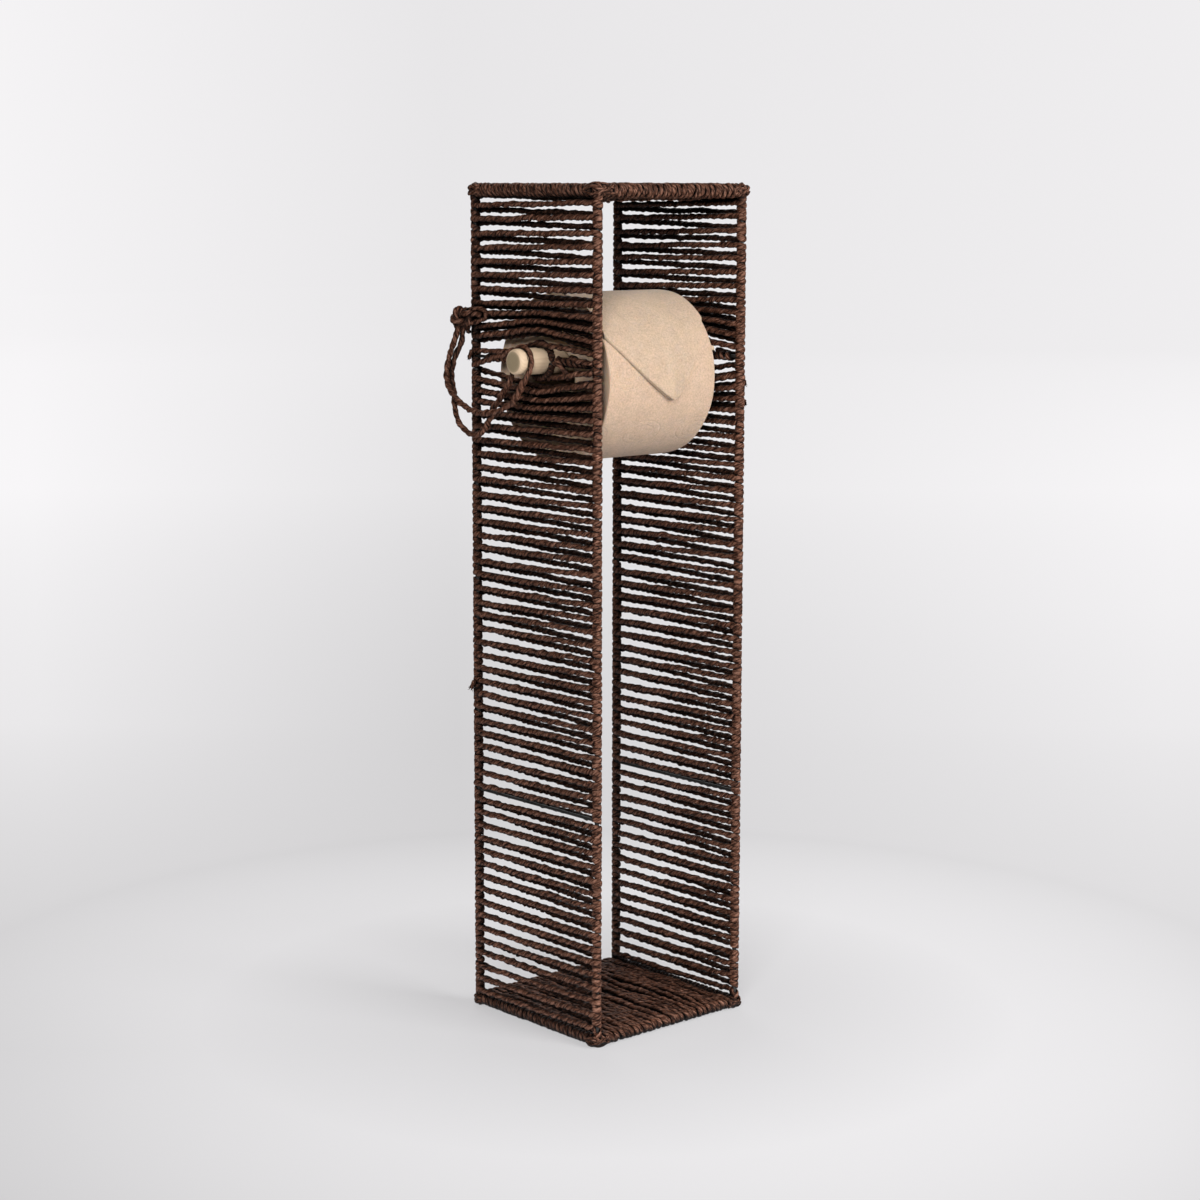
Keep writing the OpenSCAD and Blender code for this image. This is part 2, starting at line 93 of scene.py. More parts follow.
# How the side cord is laid, as on the frame: it falls a step over each run, goes round each
# post in three half turns that climb a step each, and gives way to the thin rods.
SIDE_TURNS = 60
RING_TURNS = (43, 54)
SIDE_PARTS = (("lower", 0, 21), ("middle", 21, 43), ("ring", 43, 54), ("upper", 54, 60))
# Both sides are wound the same way round: their first run is the one on the left face
WOUND_OUT = (-1.0, 0.0, 0.0)
WAY_REACH = 0.0388
WAY_ROOM = 0.00069
RING_OUT_R = 0.0146
RING_CLEAR = 0.008
BEND_REACH = 0.040
BEND_ROUND = 0.010
POST_END_PITCH = 0.0046
LOW_ROD_TOP = BOTTOM_Z + 0.0046
HIGH_ROD_UNDERSIDE = TOP_Z - 0.0040

# The tether's route, point by point, from the knot round the dowel's groove and back
TETHER_ROUTE = in_metres([
    (-808, 652, 5040), (-822, 676, 4978), (-822, 706, 4910), (-826, 750, 4820),
    (-850, 767, 4700), (-862, 742, 4600), (-860, 700, 4535), (-870, 620, 4486),
    (-880, 520, 4445), (-885, 420, 4422), (-890, 320, 4414), (-890, 220, 4426),
    (-890, 100, 4455), (-890, -10, 4510), (-890, -70, 4566), (-886, -105, 4630),
    (-868, -142, 4695), (-850, -158, 4750), (-840, -156, 4805), (-840, -130, 4861),
    (-840, -60, 4891), (-840, 10, 4861), (-840, 39, 4800), (-840, 44, 4730), (-840, 66, 4660),
    (-840, 114, 4599), (-840, 180, 4530), (-844, 250, 4445), (-850, 296, 4360),
    (-855, 345, 4290), (-860, 424, 4254), (-856, 520, 4262), (-848, 614, 4306),
    (-836, 680, 4375), (-826, 710, 4450), (-812, 736, 4530), (-802, 771, 4612),
    (-795, 781, 4700), (-776, 752, 4800), (-768, 700, 4890), (-786, 662, 4975),
    (-788, 640, 5038),
])
KNOT_AT = Vector((-0.0800, 0.0650, 0.5062))
KNOT_SIZE = 0.00232
# The knot's strands, from the post's axis and the knot's height: twice round the post,
# down its outside, and a loop that stands out beside it
KNOT_STRANDS = [in_metres(route) for route in (
    [(-62, 40, 52), (-66, -10, 48), (-20, -66, 42), (44, -46, 36), (60, 16, 34), (22, 66, 30),
     (-40, 60, 20), (-66, 0, 4), (-24, -64, -2), (44, -46, -10), (60, 16, -20), (22, 66, -30),
     (-40, 64, -42)],
    [(-68, 50, 46), (-88, 10, 52), (-92, -30, 20), (-86, -24, -30), (-74, 0, -78),
     (-46, 30, -100)],
    [(-80, 40, 30), (-86, -30, 52), (-74, -100, 64), (-60, -165, 56), (-54, -186, 26),
     (-60, -160, -4), (-72, -104, -22), (-80, -40, -38), (-74, 30, -40)],
    [(-80, 20, 0), (-94, -50, 20), (-88, -110, 30), (-78, -160, 24)],
)]

# Strands beside a dowel ring, as (outward, along, up) from the side's middle plane and the
# dowel's axis, each with how far it is pressed and its size
RING_STRANDS = [
    ([(0.0028, 0.001 - HALF_D, 0.0006), (0.0034, -0.056, 0.0012), (0.0030, -0.048, 0.0022),
      (0.0014, -0.040, 0.0035)], 0.0, 1.0),
    ([(0.0012, DOWEL_Y - 0.0100, -0.0118), (0.0034, -0.034, -0.0096),
      (0.0036, -0.048, -0.0072), (0.0028, 0.001 - HALF_D, -0.0056)], 0.0, 1.0),
    ([(0.0028, HALF_D - 0.001, 0.0042), (0.0036, 0.050, 0.0042), (0.0040, 0.030, 0.0048),
      (0.0034, 0.014, 0.0062), (0.0010, 0.008, 0.0078)], 0.1, 0.9),
]
HANGING_END = (
    [(-0.0010, -0.0240, 0.0020), (0.0044, -0.0280, 0.0012), (0.0046, -0.0325, -0.0022),
     (0.0030, -0.0362, -0.0070), (0.0022, -0.0382, -0.0118)], 0.1, 0.95)

# The base and the top: the deck's and its edges' names, height, outward sign, radius of the
# turns and seed; then a deck's halves: sign, first and last turn, spare half turns at each end
DECK_FLAT = 0.0028
DECK_RISE = 0.0029
DECKS = (("base", "bottom", BOTTOM_Z + 0.0007, -1.0, 0.0031, 21),
         ("top", "top", TOP_Z, 1.0, 0.0038, 22))
DECK_HALVES = (("left", -1, -14, 0, 3, 0), ("right", 1, 0, 14, 0, 2))

# The whipping of a dowel ring, and where that of the rods beside it starts
WHIP_TURNS = 27
WHIP_MEAN = 0.00198
WHIP_WIDTH = 0.0031
WHIP_ANGLE = math.radians(350)
RING_MEAN = 0.0120
CARRIER_START = 0.0166

# The cord's cut ends: sign of the side and of the back, turns up from the dowel, and size
CUT_ENDS = ((-1, 1, 0.41, 1.0), (1, -1, -1.75, 0.55), (1, -1, -3.2, 0.55), (-1, 1, -24.2, 1.0))

# The embossed ovals of the tissue, the tube's seam, and angles round the roll in degrees:
# the fold's tip, its left and right end, and where it joins the roll
EMBOSS_ROWS = 8
EMBOSS_STEP = 0.050
EMBOSS_ROW_WIDTH = 0.046
EMBOSS_LONG = 0.0165
EMBOSS_SHORT = 0.0108
EMBOSS_LEAN = math.radians(-42)
SEAM_PITCH = 0.075
FOLD_ANGLES = (-14.6, 30, 42, 100)

WHITE, BLACK = (1.0, 1.0, 1.0), (0.0, 0.0, 0.0)
WORN_PAINT = (0.030, 0.028, 0.026)
# Colours of the dowel's flat ends: end grain, darkened further with painted shade
SHADED_END_GRAIN = (0.42, 0.33, 0.21)
SHADED_END_PORES = (0.30, 0.225, 0.135)
SOFT_PAPER = {"Subsurface Weight": 0.25, "Subsurface Radius": (1.0, 0.55, 0.25),
              "Subsurface Scale": 0.002}

# The camera, the directions of the backdrop as it sees them, and the lights: share of the
# key light's power, size and place
CAMERA_LENS = 75.81
CAMERA_AT = (-1.197, -1.341, 0.593)
CAMERA_TURN = (-41.58, 80.86, 0.08)
BEHIND, ACROSS = (0.664, 0.748, 0.0), (0.748, -0.664, 0.0)
LIT_POINT = (0.0, 0.0, 0.3)
LIGHTS = (("key_light", 1.0, 1.1, (0.45, -2.2, 1.15)),
          ("left_light", 0.72, 0.6, (-1.75, -1.45, 1.35)),
          ("back_light", 0.26, 1.6, (1.1, 1.9, 1.3)))


# ---- settings

def sized(name, default, description):
    return bpy.props.FloatProperty(name=name, description=description, default=default,
                                   unit="LENGTH", precision=5)


def coloured(name, default, description):
    return bpy.props.FloatVectorProperty(name=name, description=description, default=default,
                                         subtype="COLOR", size=3, min=0.0, max=1.0)


class RollHolderSettings(bpy.types.PropertyGroup):
    """Sizes and colours of the cord, the wood, the paper and the studio."""

    cord_width: sized("Cord Width", 0.0045, "Width of the cord where it runs free")
    cord_flat: sized("Pressed Thickness", 0.0021, "Thickness of the cord where it lies round a rod")
    cord_spread: sized("Pressed Width", 0.0053, "Width of the cord where it lies round a rod")
    cord_lay: sized("Lay", 0.0145, "Length in which the two plies twist once round each other")
    cord_sides: bpy.props.IntProperty(
        name="Cord Sides", description="Faces round the cord, an even number", default=12)
    turn_radius: sized("Turn Radius", 0.0026, "Middle of the cord where it goes round a post")
    run_offset: sized("Run Offset", 0.0031, "A free run's distance from the middle of its side")
    side_pitch: sized("Side Pitch", 0.0097, "Rise from one turn to the next on a side")
    deck_pitch: sized("Deck Pitch", 0.0045, "Distance between turns on the base and the top")
    edge_pitch: sized("Edge Pitch", 0.0042, "Distance between turns along the side edges")
    unevenness: sized("Unevenness", 0.00045, "How far a turn may stray from its place")
    # The cord's dark and light colours are painted shade in its creases and hollows and a painted
    # highlight on its ridges
    cord_painted_shade: coloured("Cord, Dark", (0.0045, 0.0012, 0.0004), "Colour in the cord's creases")
    cord_middle: coloured("Cord", (0.099, 0.0350, 0.0180), "Colour of most of the cord")
    cord_painted_highlight: coloured("Cord, Light", (0.335, 0.170, 0.116), "Colour on the cord's ridges")
    frame_colour: coloured("Frame", (0.010, 0.0095, 0.009), "Colour of the painted rods")
    wood_light: coloured("Wood, Light", (0.80, 0.60, 0.41), "Colour of the early wood")
    wood_dark: coloured("Wood, Dark", (0.68, 0.475, 0.29), "Colour of the grain lines")
    tissue_colour: coloured("Tissue", (0.590, 0.425, 0.306), "Colour of the unbleached paper")
    card_colour: coloured("Card", (0.42, 0.33, 0.22), "Colour of the roll's tube")
    floor_colour: coloured("Floor", (0.66, 0.654, 0.667), "Colour of the studio floor")
    backdrop_tint: coloured("Backdrop", (1.0, 0.986, 1.0), "The paper sweep where it is brightest")
    key_power: bpy.props.FloatProperty(
        name="Key Light", description="Power of the large soft light", default=48.0, unit="POWER")
    sky_strength: bpy.props.FloatProperty(
        name="Fill Light", description="Strength of the light from all round", default=0.10)


def settings():
    return bpy.context.scene.roll_holder


# ---- lines of cord

def eased(share):
    share = np.clip(share, 0.0, 1.0)
    return share * share * (3.0 - 2.0 * share)


def drift(rng, count, reach, size):
    """A slow random line of the given typical size."""
    kernel = np.hanning(2 * reach + 3)[1:-1]
    raw = rng.normal(size=count + 2 * len(kernel))
    slow = np.convolve(raw, kernel / math.sqrt((kernel ** 2).sum()), mode="same")
    return size * slow[len(kernel):len(kernel) + count]


def joined(pieces):
    """One line from several. A line is points, outward directions, pressing and size."""
    return [np.concatenate([piece[i] for piece in pieces]) for i in range(4)]


def placed(line, centre, out, along, across):
    """A line moved from (out, along, across) into the object's own axes."""
    axes = np.array([out, along, across], float)
    return [np.array(centre, float) + line[0] @ axes, line[1] @ axes, line[2], line[3]]


def half_turns(along, angle, count, start, end, radius):
    """Half turns round a rod, from an angle on, rising from start to end."""
    share = np.linspace(0.0, 1.0, 22 * count, endpoint=False)
    turned = angle + math.pi * count * share
    out = np.stack([np.cos(turned), np.sin(turned), np.zeros_like(turned)], 1)
    points = radius * out
    points[:, 1] += along
    points[:, 2] = start + (end - start) * share
    return [points, out, np.ones_like(share), np.ones_like(share)]


def tent(along):
    """Share of the full bend at a place between the posts: a tent with a rounded ridge."""
    away = along - DOWEL_Y
    reach = np.where(away > 0, HALF_D - DOWEL_Y, HALF_D + DOWEL_Y)
    lifted = np.sqrt(away ** 2 + BEND_ROUND ** 2) - BEND_ROUND
    return 1.0 - lifted / (np.sqrt(reach ** 2 + BEND_ROUND ** 2) - BEND_ROUND)


def free_run(side, start, end, offset, pressed, rng, bent=False, loose=1.0, radius=None):
    """A run between the posts, on one side of the middle plane."""
    hs = settings()
    share = np.linspace(0.0, 1.0, 260, endpoint=False)
    along = -side * HALF_D * (1.0 - 2.0 * share)
    gap = HALF_D - np.abs(along)
    across = start + (end - start) * share
    if bent:
        middle = start + (end - start) * (HALF_D + side * DOWEL_Y) / (2 * HALF_D)
        off = middle - DOWEL_Z
        crest = RING_OUT_R + 0.0018
        spread = 1.0 - (crest - RING_CLEAR) / (BEND_REACH - RING_CLEAR)
        rise = max(0.0, crest + spread * (abs(off) - RING_CLEAR) - abs(off)) * math.copysign(1, off)
        across = across + rise * tent(along)
    calm = eased(gap / 0.015)
    across = across + calm * drift(rng, len(share), 34, hs.unevenness * 0.5 * loose)
    radius = radius or hs.turn_radius
    out = radius + (offset - radius) * eased(gap / 0.018)
    out = out + calm * drift(rng, len(share), 40, hs.unevenness * 0.3 * loose)
    points = np.stack([side * out, along, across], 1)
    outward = np.tile([float(side), 0.0, 0.0], (len(share), 1))
    press = pressed + (1.0 - pressed) * (1.0 - eased(gap / 0.011))
    return [points, outward, press, np.ones_like(share)]


def give_way(z):
    """How far the turns near a thin rod stand off from it."""
    step = settings().side_pitch / 4
    total = np.zeros_like(z)
    for height in CROSS_Z:
        off = z - height
        near = 1.0 - np.maximum(0.0, np.abs(off) - step) / WAY_REACH
        total += np.sign(off) * WAY_ROOM * np.clip(near, 0.0, 1.0)
    return total


def side_heights(rng):
    """Where each turn of a side meets the posts: outer front, outer back, inner back,
    inner front, and the start of the next turn."""
    hs = settings()
    pitch = hs.side_pitch
    step = pitch / 4
    first = DOWEL_Z - 1.5 * step - 2 * step * 95
    z = first + pitch * np.arange(SIDE_TURNS + 1)
    before, back, front = (give_way(z + share * step) for share in (-1.5, 0.5, 2.5))
    heights = np.stack([z + before, z - step + back, z + 2 * step + back, z + step + front], 1)
    off = heights - DOWEL_Z
    near, reach = 0.0024, 0.034
    squeezed = RING_CLEAR + (reach - RING_CLEAR) * (np.abs(off) - near) / (reach - near)
    heights = DOWEL_Z + np.sign(off) * np.where(np.abs(off) < reach, squeezed, np.abs(off))
    stray = np.clip(rng.normal(size=(SIDE_TURNS + 1, 4)) * hs.unevenness, -0.0009, 0.0009)
    stray[RING_TURNS[0]:RING_TURNS[1] + 1] *= 0.6
    stray[0] *= 0.3
    stray[-1] *= 0.3
    return heights + stray


def post_turns(climb):
    """Half turns that cover a climb on a post: an odd number, three on most."""
    return max(1, 3 + 2 * round((climb - 0.0073) / 0.0049))


def wound_side(heights, first, last, rng):
    """Turns of a side winding, as one line."""
    hs = settings()
    pieces = []
    for i in range(first, last):
        outer_front, outer_back, inner_back, inner_front = heights[i]
        bent = RING_TURNS[0] <= i < RING_TURNS[1]
        pieces += [
            free_run(1, outer_front, outer_back, hs.run_offset, 0.0, rng, bent),
            half_turns(HALF_D, 0.0, post_turns(inner_back - outer_back), outer_back, inner_back,
                       hs.turn_radius),
            free_run(-1, inner_back, inner_front, hs.run_offset, 0.0, rng, bent),
            half_turns(-HALF_D, math.pi, post_turns(heights[i + 1][0] - inner_front), inner_front,
                       heights[i + 1][0], hs.turn_radius),
        ]
    return calmed(joined(pieces))


def wound_deck(first, last, turns_before, turns_after, radius, rng):
    """Turns of the base or the top, as one line, with spare turns on the front rod."""
    pitch = settings().deck_pitch
    start = pitch * first
    pieces = []
    if turns_before:
        pieces.append(half_turns(-HALF_D, math.pi * (turns_before % 2), turns_before,
                                 start - pitch * turns_before / 2, start, radius))
    stray = np.clip(rng.normal(size=(last - first + 1, 4)) * 0.00075, -0.0013, 0.0013)
    lifted = DECK_RISE + np.clip(rng.normal(size=last - first) * 0.0012, -0.0004, 0.0022)
    for n in range(last - first):
        at = start + pitch * n
        a, b, c, d = at + stray[n] + np.array([0.0, 0.0, pitch / 2, pitch / 2])
        after = at + pitch + (stray[n + 1][0] if n < last - first - 1 else 0.0)
        pieces += [
            free_run(1, a, b, DECK_FLAT, 0.5, rng, radius=radius),
            half_turns(HALF_D, 0.0, 1, b, c, radius),
            free_run(-1, c, d, lifted[n], 0.0, rng, loose=4.4, radius=radius),
            half_turns(-HALF_D, math.pi, 1, d, after, radius),
        ]
    if turns_after:
        end = pitch * last
        pieces.append(half_turns(-HALF_D, 0.0, turns_after,
                                 end, end + pitch * turns_after / 2, radius))
    return calmed(joined(pieces))


def calmed(line):
    """The climb eased over a few millimetres, so that runs leave the turns smoothly."""
    kernel = np.hanning(17)[1:-1]
    kernel /= kernel.sum()
    climb = np.pad(line[0][:, 2], 7, mode="edge")
    line[0][:, 2] = np.convolve(climb, kernel, mode="valid")
    return line


def helix(radius, turns, pitch, rng, angle=0.0):
    """A plain winding along its third axis, centred on it."""
    share = np.linspace(0.0, 1.0, int(abs(turns) * 44))
    turned = angle + 2 * math.pi * turns * share
    out = np.stack([np.cos(turned), np.sin(turned), np.zeros_like(turned)], 1)
    points = out * (radius + drift(rng, len(share), 20, 0.00006))[:, None]
    points[:, 2] = abs(turns) * pitch * (share - 0.5) + drift(rng, len(share), 30, 0.00018)
    return [points, out, np.ones_like(share), np.ones_like(share)]


def corner_wraps(sx, sy, z, out, size):
    """Strands laid round a corner of the base or the top, over the ends of its rods."""
    lines = []
    for drop, spill in ((-0.0010, 0.0008), (0.0012, -0.0008)):
        lines.append(([(-0.0078, 0.0026, drop - spill), (-0.0045, 0.0031, drop),
                       (-0.0008, 0.0034, drop + spill), (0.0022, 0.0024, drop),
                       (0.0034, -0.0006, drop - spill), (0.0032, -0.0042, drop),
                       (0.0026, -0.0078, drop + spill)], 0.5, 0.70))
    lines.append(([(-0.0068, 0.0028, 0.0006), (-0.0036, 0.0024, 0.0028), (-0.0004, 0.0002, 0.0034),
                   (0.0024, -0.0034, 0.0028), (0.0028, -0.0068, 0.0006)], 0.6, 0.72))
    return [free_line(smooth_line([(sx * (HALF_W + a * size), sy * (HALF_D + b * size),
                                    z + out * c * size) for a, b, c in route]), press, wide)
            for route, press, wide in lines]


def post_end(x, y, low, high, rng):
    """Turns that cover the last of a post, between the side winding and the rods."""
    turns = max(1.0, (high - low) / POST_END_PITCH)
    line = helix(settings().turn_radius, turns, (high - low) / turns, rng, rng.uniform(0, 6))
    return placed(line, (x, y, (low + high) / 2), (1, 0, 0), (0, 1, 0), (0, 0, 1))


def smooth_line(route, per_step=9):
    """A smooth line through a route's points."""
    route = np.array(route, float)
    padded = np.vstack([2 * route[0] - route[1], route, 2 * route[-1] - route[-2]])
    share = np.linspace(0.0, 1.0, per_step, endpoint=False)[:, None]
    pieces = []
    for a, b, c, d in zip(padded, padded[1:], padded[2:], padded[3:]):
        pieces.append(0.5 * (2 * b + (c - a) * share + (2 * a - 5 * b + 4 * c - d) * share ** 2
                             + (3 * b - a - 3 * c + d) * share ** 3))
    return np.vstack(pieces + [route[-1:]])


def free_line(points, press=0.0, size=1.0):
    """A line whose outward direction turns as little as it can."""
    points = np.array(points, float)
    tangent = np.gradient(points, axis=0)
    tangent /= np.linalg.norm(tangent, axis=1)[:, None]
    outward = np.zeros_like(points)
    last = np.array([1.0, 0.3, 0.2])
    for i, t in enumerate(tangent):
        last = last - t * last.dot(t)
        last /= np.linalg.norm(last)
        outward[i] = last
    return [points, outward, np.full(len(points), press), np.full(len(points), size)]


# ---- cord as a mesh

def mesh_piece(name, vertices, triangles, material, body):
    """A mesh from points and triangles, which moves with a body."""
    mesh = bpy.data.meshes.new(name)
    mesh.vertices.add(len(vertices))
    mesh.vertices.foreach_set("co", np.asarray(vertices, np.float32).ravel())
    triangles = np.asarray(triangles, np.int32)
    mesh.loops.add(triangles.size)
    mesh.loops.foreach_set("vertex_index", triangles.ravel())
    mesh.polygons.add(len(triangles))
    mesh.polygons.foreach_set("loop_start", np.arange(0, triangles.size, 3, dtype=np.int32))
    mesh.update(calc_edges=True)
    mesh.polygons.foreach_set("use_smooth", np.ones(len(triangles), bool))
    mesh.materials.append(bpy.data.materials[material])
    piece = bpy.data.objects.new(name, mesh)
    bpy.context.scene.collection.objects.link(piece)
    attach(piece, body)
    return piece


def cord_rings(line, rng, width, flat, spread, lay, sides):
    """Rings of points for a cord of two plies, with each point's place in its ply.
    The plies twist by one side from ring to ring, so that their edges follow the mesh."""
    points, outward, press, size = line
    steps = np.linalg.norm(np.diff(points, axis=0), axis=1)
    far = np.concatenate([[0.0], np.cumsum(np.maximum(steps, 1e-9))])
    count = max(6, int(far[-1] / lay * sides))
    pace = 1.0 + np.clip(drift(rng, count, 12, 0.20), -0.40, 0.50)
    place = np.concatenate([[0.0], np.cumsum(pace)])
    place *= far[-1] / place[-1]
    count += 1
    at = np.stack([np.interp(place, far, points[:, i]) for i in range(3)], 1)
    out = np.stack([np.interp(place, far, outward[:, i]) for i in range(3)], 1)
    press = np.interp(place, far, press)
    size = np.interp(place, far, size)
    tangent = np.gradient(at, axis=0)
    tangent /= np.linalg.norm(tangent, axis=1)[:, None]
    out -= tangent * (out * tangent).sum(1)[:, None]
    out /= np.linalg.norm(out, axis=1)[:, None]
    wide = np.cross(tangent, out)
    angle = 2 * math.pi * np.arange(sides) / sides
    twist = angle[None] + (2 * math.pi / sides) * np.arange(count)[:, None] + math.pi / 2
    lobe = 0.24 * np.abs(np.cos(twist)) + np.sqrt(0.76 ** 2 - (0.24 * np.sin(twist)) ** 2)
    swell = 1.0 + np.clip(drift(rng, count, 5, 0.05) + drift(rng, count, 22, 0.04), -0.14, 0.16)
    uneven = 1.0 + drift(rng, count, 16, 0.07)[:, None] * np.cos(twist)
    crease = 1.0 + np.clip(0.062 * rng.normal(size=(count, sides)), -0.14, 0.14)
    lobe = lobe * crease * uneven * (swell * size)[:, None]
    thick = (width * (1 - press) + flat * press) / 2
    broad = (width * (1 - press) + spread * press) / 2
    rings = (at[:, None]
             + out[:, None] * (np.cos(angle)[None] * lobe * thick[:, None])[..., None]
             + wide[:, None] * (np.sin(angle)[None] * lobe * broad[:, None])[..., None])
    ply = np.stack([np.broadcast_to((place / lay)[:, None], twist.shape),
                    np.cos(twist), np.sin(twist)], 2)
    return rings, ply, at


def ring_triangles(count, sides):
    i = np.arange(count - 1)[:, None] * sides
    k = np.arange(sides)[None]
    a, b = i + k, i + (k + 1) % sides
    c, d = a + sides, b + sides
    return np.concatenate([np.stack([a, b, c], 2).reshape(-1, 3),
                           np.stack([b, d, c], 2).reshape(-1, 3)])


def cord_piece(name, lines, body, seed, width=None, flat=None, spread=None, lay=None):
    """One piece of cord from one line or several, with closed ends."""
    hs = settings()
    rng = np.random.default_rng(seed)
    sides = hs.cord_sides
    sizes = (width or hs.cord_width, flat or hs.cord_flat, spread or hs.cord_spread,
             lay or hs.cord_lay)
    vertices, triangles, plies = [], [], []
    base = 0
    for line in lines:
        rings, ply, at = cord_rings(line, rng, *sizes, sides)
        count = len(rings)
        vertices += [rings.reshape(-1, 3), at[:1], at[-1:]]
        plies += [ply.reshape(-1, 3), ply[0, :1], ply[-1, :1]]
        first, last = count * sides, count * sides + 1
        k = np.arange(sides)
        near = np.stack([np.full(sides, first), (k + 1) % sides, k], 1)
        end = (count - 1) * sides
        far = np.stack([np.full(sides, last), end + k, end + (k + 1) % sides], 1)
        triangles.append(base + np.concatenate([ring_triangles(count, sides), near, far]))
        base += count * sides + 2
    piece = mesh_piece(name, np.concatenate(vertices), np.concatenate(triangles),
                       "twisted_paper", body)
    place = piece.data.attributes.new("ply", "FLOAT_VECTOR", "POINT")
    place.data.foreach_set("vector", np.concatenate(plies).astype(np.float32).ravel())
    return piece


def cord_for(node, lines, seed, **sizes):
    """A piece of cord on the stand that takes the place of a node."""
    piece = cord_piece(node + "_cord", lines, "stand", seed, **sizes)
    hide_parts(node)
    return piece


def tuft_lines(origin, direction, count, length, rng):
    """Short torn fibres that fan out from a cut end."""
    direction = np.array(direction, float) / np.linalg.norm(direction)
    lines = []
    for _ in range(count):
        lean = rng.normal(size=3) * 0.42
        way = direction + lean
        way /= np.linalg.norm(way)
        reach = length * rng.uniform(0.5, 1.0)
        share = np.linspace(0.0, 1.0, 7)[:, None]
        curl = rng.normal(size=3) * reach * 0.16
        points = (np.array(origin) + rng.normal(size=3) * 0.00045 + way * reach * share
                  + curl * share ** 2)
        line = free_line(points)
        line[3] = (1.0 - 0.8 * share[:, 0])
        lines.append(line)
    return lines


# ---- shader nodes

def add(tree, kind, inputs=None, **options):
    """A shader node with its options set and its inputs filled or linked."""
    made = tree.nodes.new(kind)
    for name, value in options.items():
        setattr(made, name, value)
    for name, value in (inputs or {}).items():
        if isinstance(value, Signal):
            tree.links.new(value.socket, made.inputs[name])
        else:
            made.inputs[name].default_value = value
    return made


def signal(tree, kind, output, inputs=None, **options):
    return Signal(add(tree, kind, inputs, **options), output)


class Signal:
    """A node's output, with the arithmetic and the nodes that the finishes need."""

    def __init__(self, node, output=0):
        self.tree = node.id_data
        self.socket = node.outputs[output]

    def maths(self, operation, other=0.0):
        return signal(self.tree, "ShaderNodeMath", 0, {0: self, 1: other}, operation=operation)

    def __abs__(self):
        return self.maths("ABSOLUTE")

    def most(self, other):
        return self.maths("MAXIMUM", other)

    def ranged(self, low, high, to_low=0.0, to_high=1.0):
        return signal(self.tree, "ShaderNodeMapRange", 0, {
            "Value": self, "From Min": low, "From Max": high, "To Min": to_low, "To Max": to_high})

    def mix(self, first, second):
        """From the first colour to the second, by this share."""
        return signal(self.tree, "ShaderNodeMix", 2, {"Factor": self, 6: first, 7: second},
                      data_type="RGBA")

    def lit(self, value):
        return signal(self.tree, "ShaderNodeHueSaturation", 0, {"Value": value, "Color": self})

    def mapped(self, **inputs):
        return signal(self.tree, "ShaderNodeMapping", 0,
                      {"Vector": self, **{name.title(): value for name, value in inputs.items()}})

    def noise(self, scale, detail=2.0, roughness=0.5, distortion=0.0):
        return signal(self.tree, "ShaderNodeTexNoise", 0, {
            "Vector": self, "Scale": scale, "Detail": detail, "Roughness": roughness,
            "Distortion": distortion})

    def parts(self):
        node = add(self.tree, "ShaderNodeSeparateXYZ", {"Vector": self})
        return [Signal(node, i) for i in range(3)]

    def length(self):
        return signal(self.tree, "ShaderNodeVectorMath", "Value", {0: self}, operation="LENGTH")

    def toward(self, way):
        return signal(self.tree, "ShaderNodeVectorMath", "Value", {0: self, 1: way},
                      operation="DOT_PRODUCT")


for symbol, operation in (("add", "ADD"), ("sub", "SUBTRACT"), ("mul", "MULTIPLY"),
                          ("truediv", "DIVIDE")):
    setattr(Signal, f"__{symbol}__",
            lambda self, other, operation=operation: self.maths(operation, other))


def object_place(tree):
    """A point's place in the object's own axes."""
    return signal(tree, "ShaderNodeTexCoord", "Object")


def shade(colour, share=1.0):
    return (*(min(1.0, c * share) for c in colour), 1.0)


def new_finish(name):
    material = bpy.data.materials.new(name)
    material.use_nodes = True
    return material.node_tree


def complete(tree, colour, roughness, height, depth, strength, values):
    """Join a finish to its shader: its colour, its roughness, a bump and plain values."""
    shader = tree.nodes["Principled BSDF"]
    bump = signal(tree, "ShaderNodeBump", 0,
                  {"Height": height, "Distance": depth, "Strength": strength})
    for name, value in (("Base Color", colour), ("Roughness", roughness), ("Normal", bump)):
        tree.links.new(value.socket, shader.inputs[name])
    for name, value in values.items():
        shader.inputs[name].default_value = value


# ---- finishes

def cord_finish():
    """Twisted kraft paper, creased along the plies, with painted shade between the plies and
    painted highlights on their ridges.
    """
    hs = settings()
    tree = new_finish("twisted_paper")
    ply = signal(tree, "ShaderNodeAttribute", "Vector", attribute_name="ply")
    fibres = ply.mapped(scale=(4.2, 4.6, 4.6)).noise(1.0, 4.0, 0.72, 0.3)
    folds = ply.mapped(scale=(5.0, 1.5, 1.5)).noise(1.0)
    patches = object_place(tree).noise(130.0, 3.0, 0.6)
    ridge = abs(ply.parts()[1])
    height = fibres * 0.6 + folds * 0.5
    # Painted shade in the grooves between the plies and in the fibres' creases, and a painted
    # highlight on the ridges
    painted_ply_light = ridge.ranged(0.0, 0.4, 0.50, 1.0) * height.ranged(0.43, 0.70, 0.06, 1.0)
    colour = painted_ply_light.ranged(0.10, 0.46).mix(shade(hs.cord_painted_shade), shade(hs.cord_middle))
    colour = painted_ply_light.ranged(0.40, 0.90).mix(colour, shade(hs.cord_painted_highlight))
    # Painted shade: the cord is darkened nearly to black where strands lie close behind one
    # another, as the occlusion node finds them
    hollow = signal(tree, "ShaderNodeAmbientOcclusion", "AO", {"Distance": 0.012}, samples=4)
    colour = hollow.ranged(0.60, 0.95).mix(shade(hs.cord_painted_shade, 0.35), colour)
    complete(tree, colour.lit(patches.ranged(0.3, 0.7, 0.68, 1.26)),
             height.ranged(0.3, 0.8, 0.62, 0.46), height, 0.0007, 0.9,
             {"Specular IOR Level": 0.14})


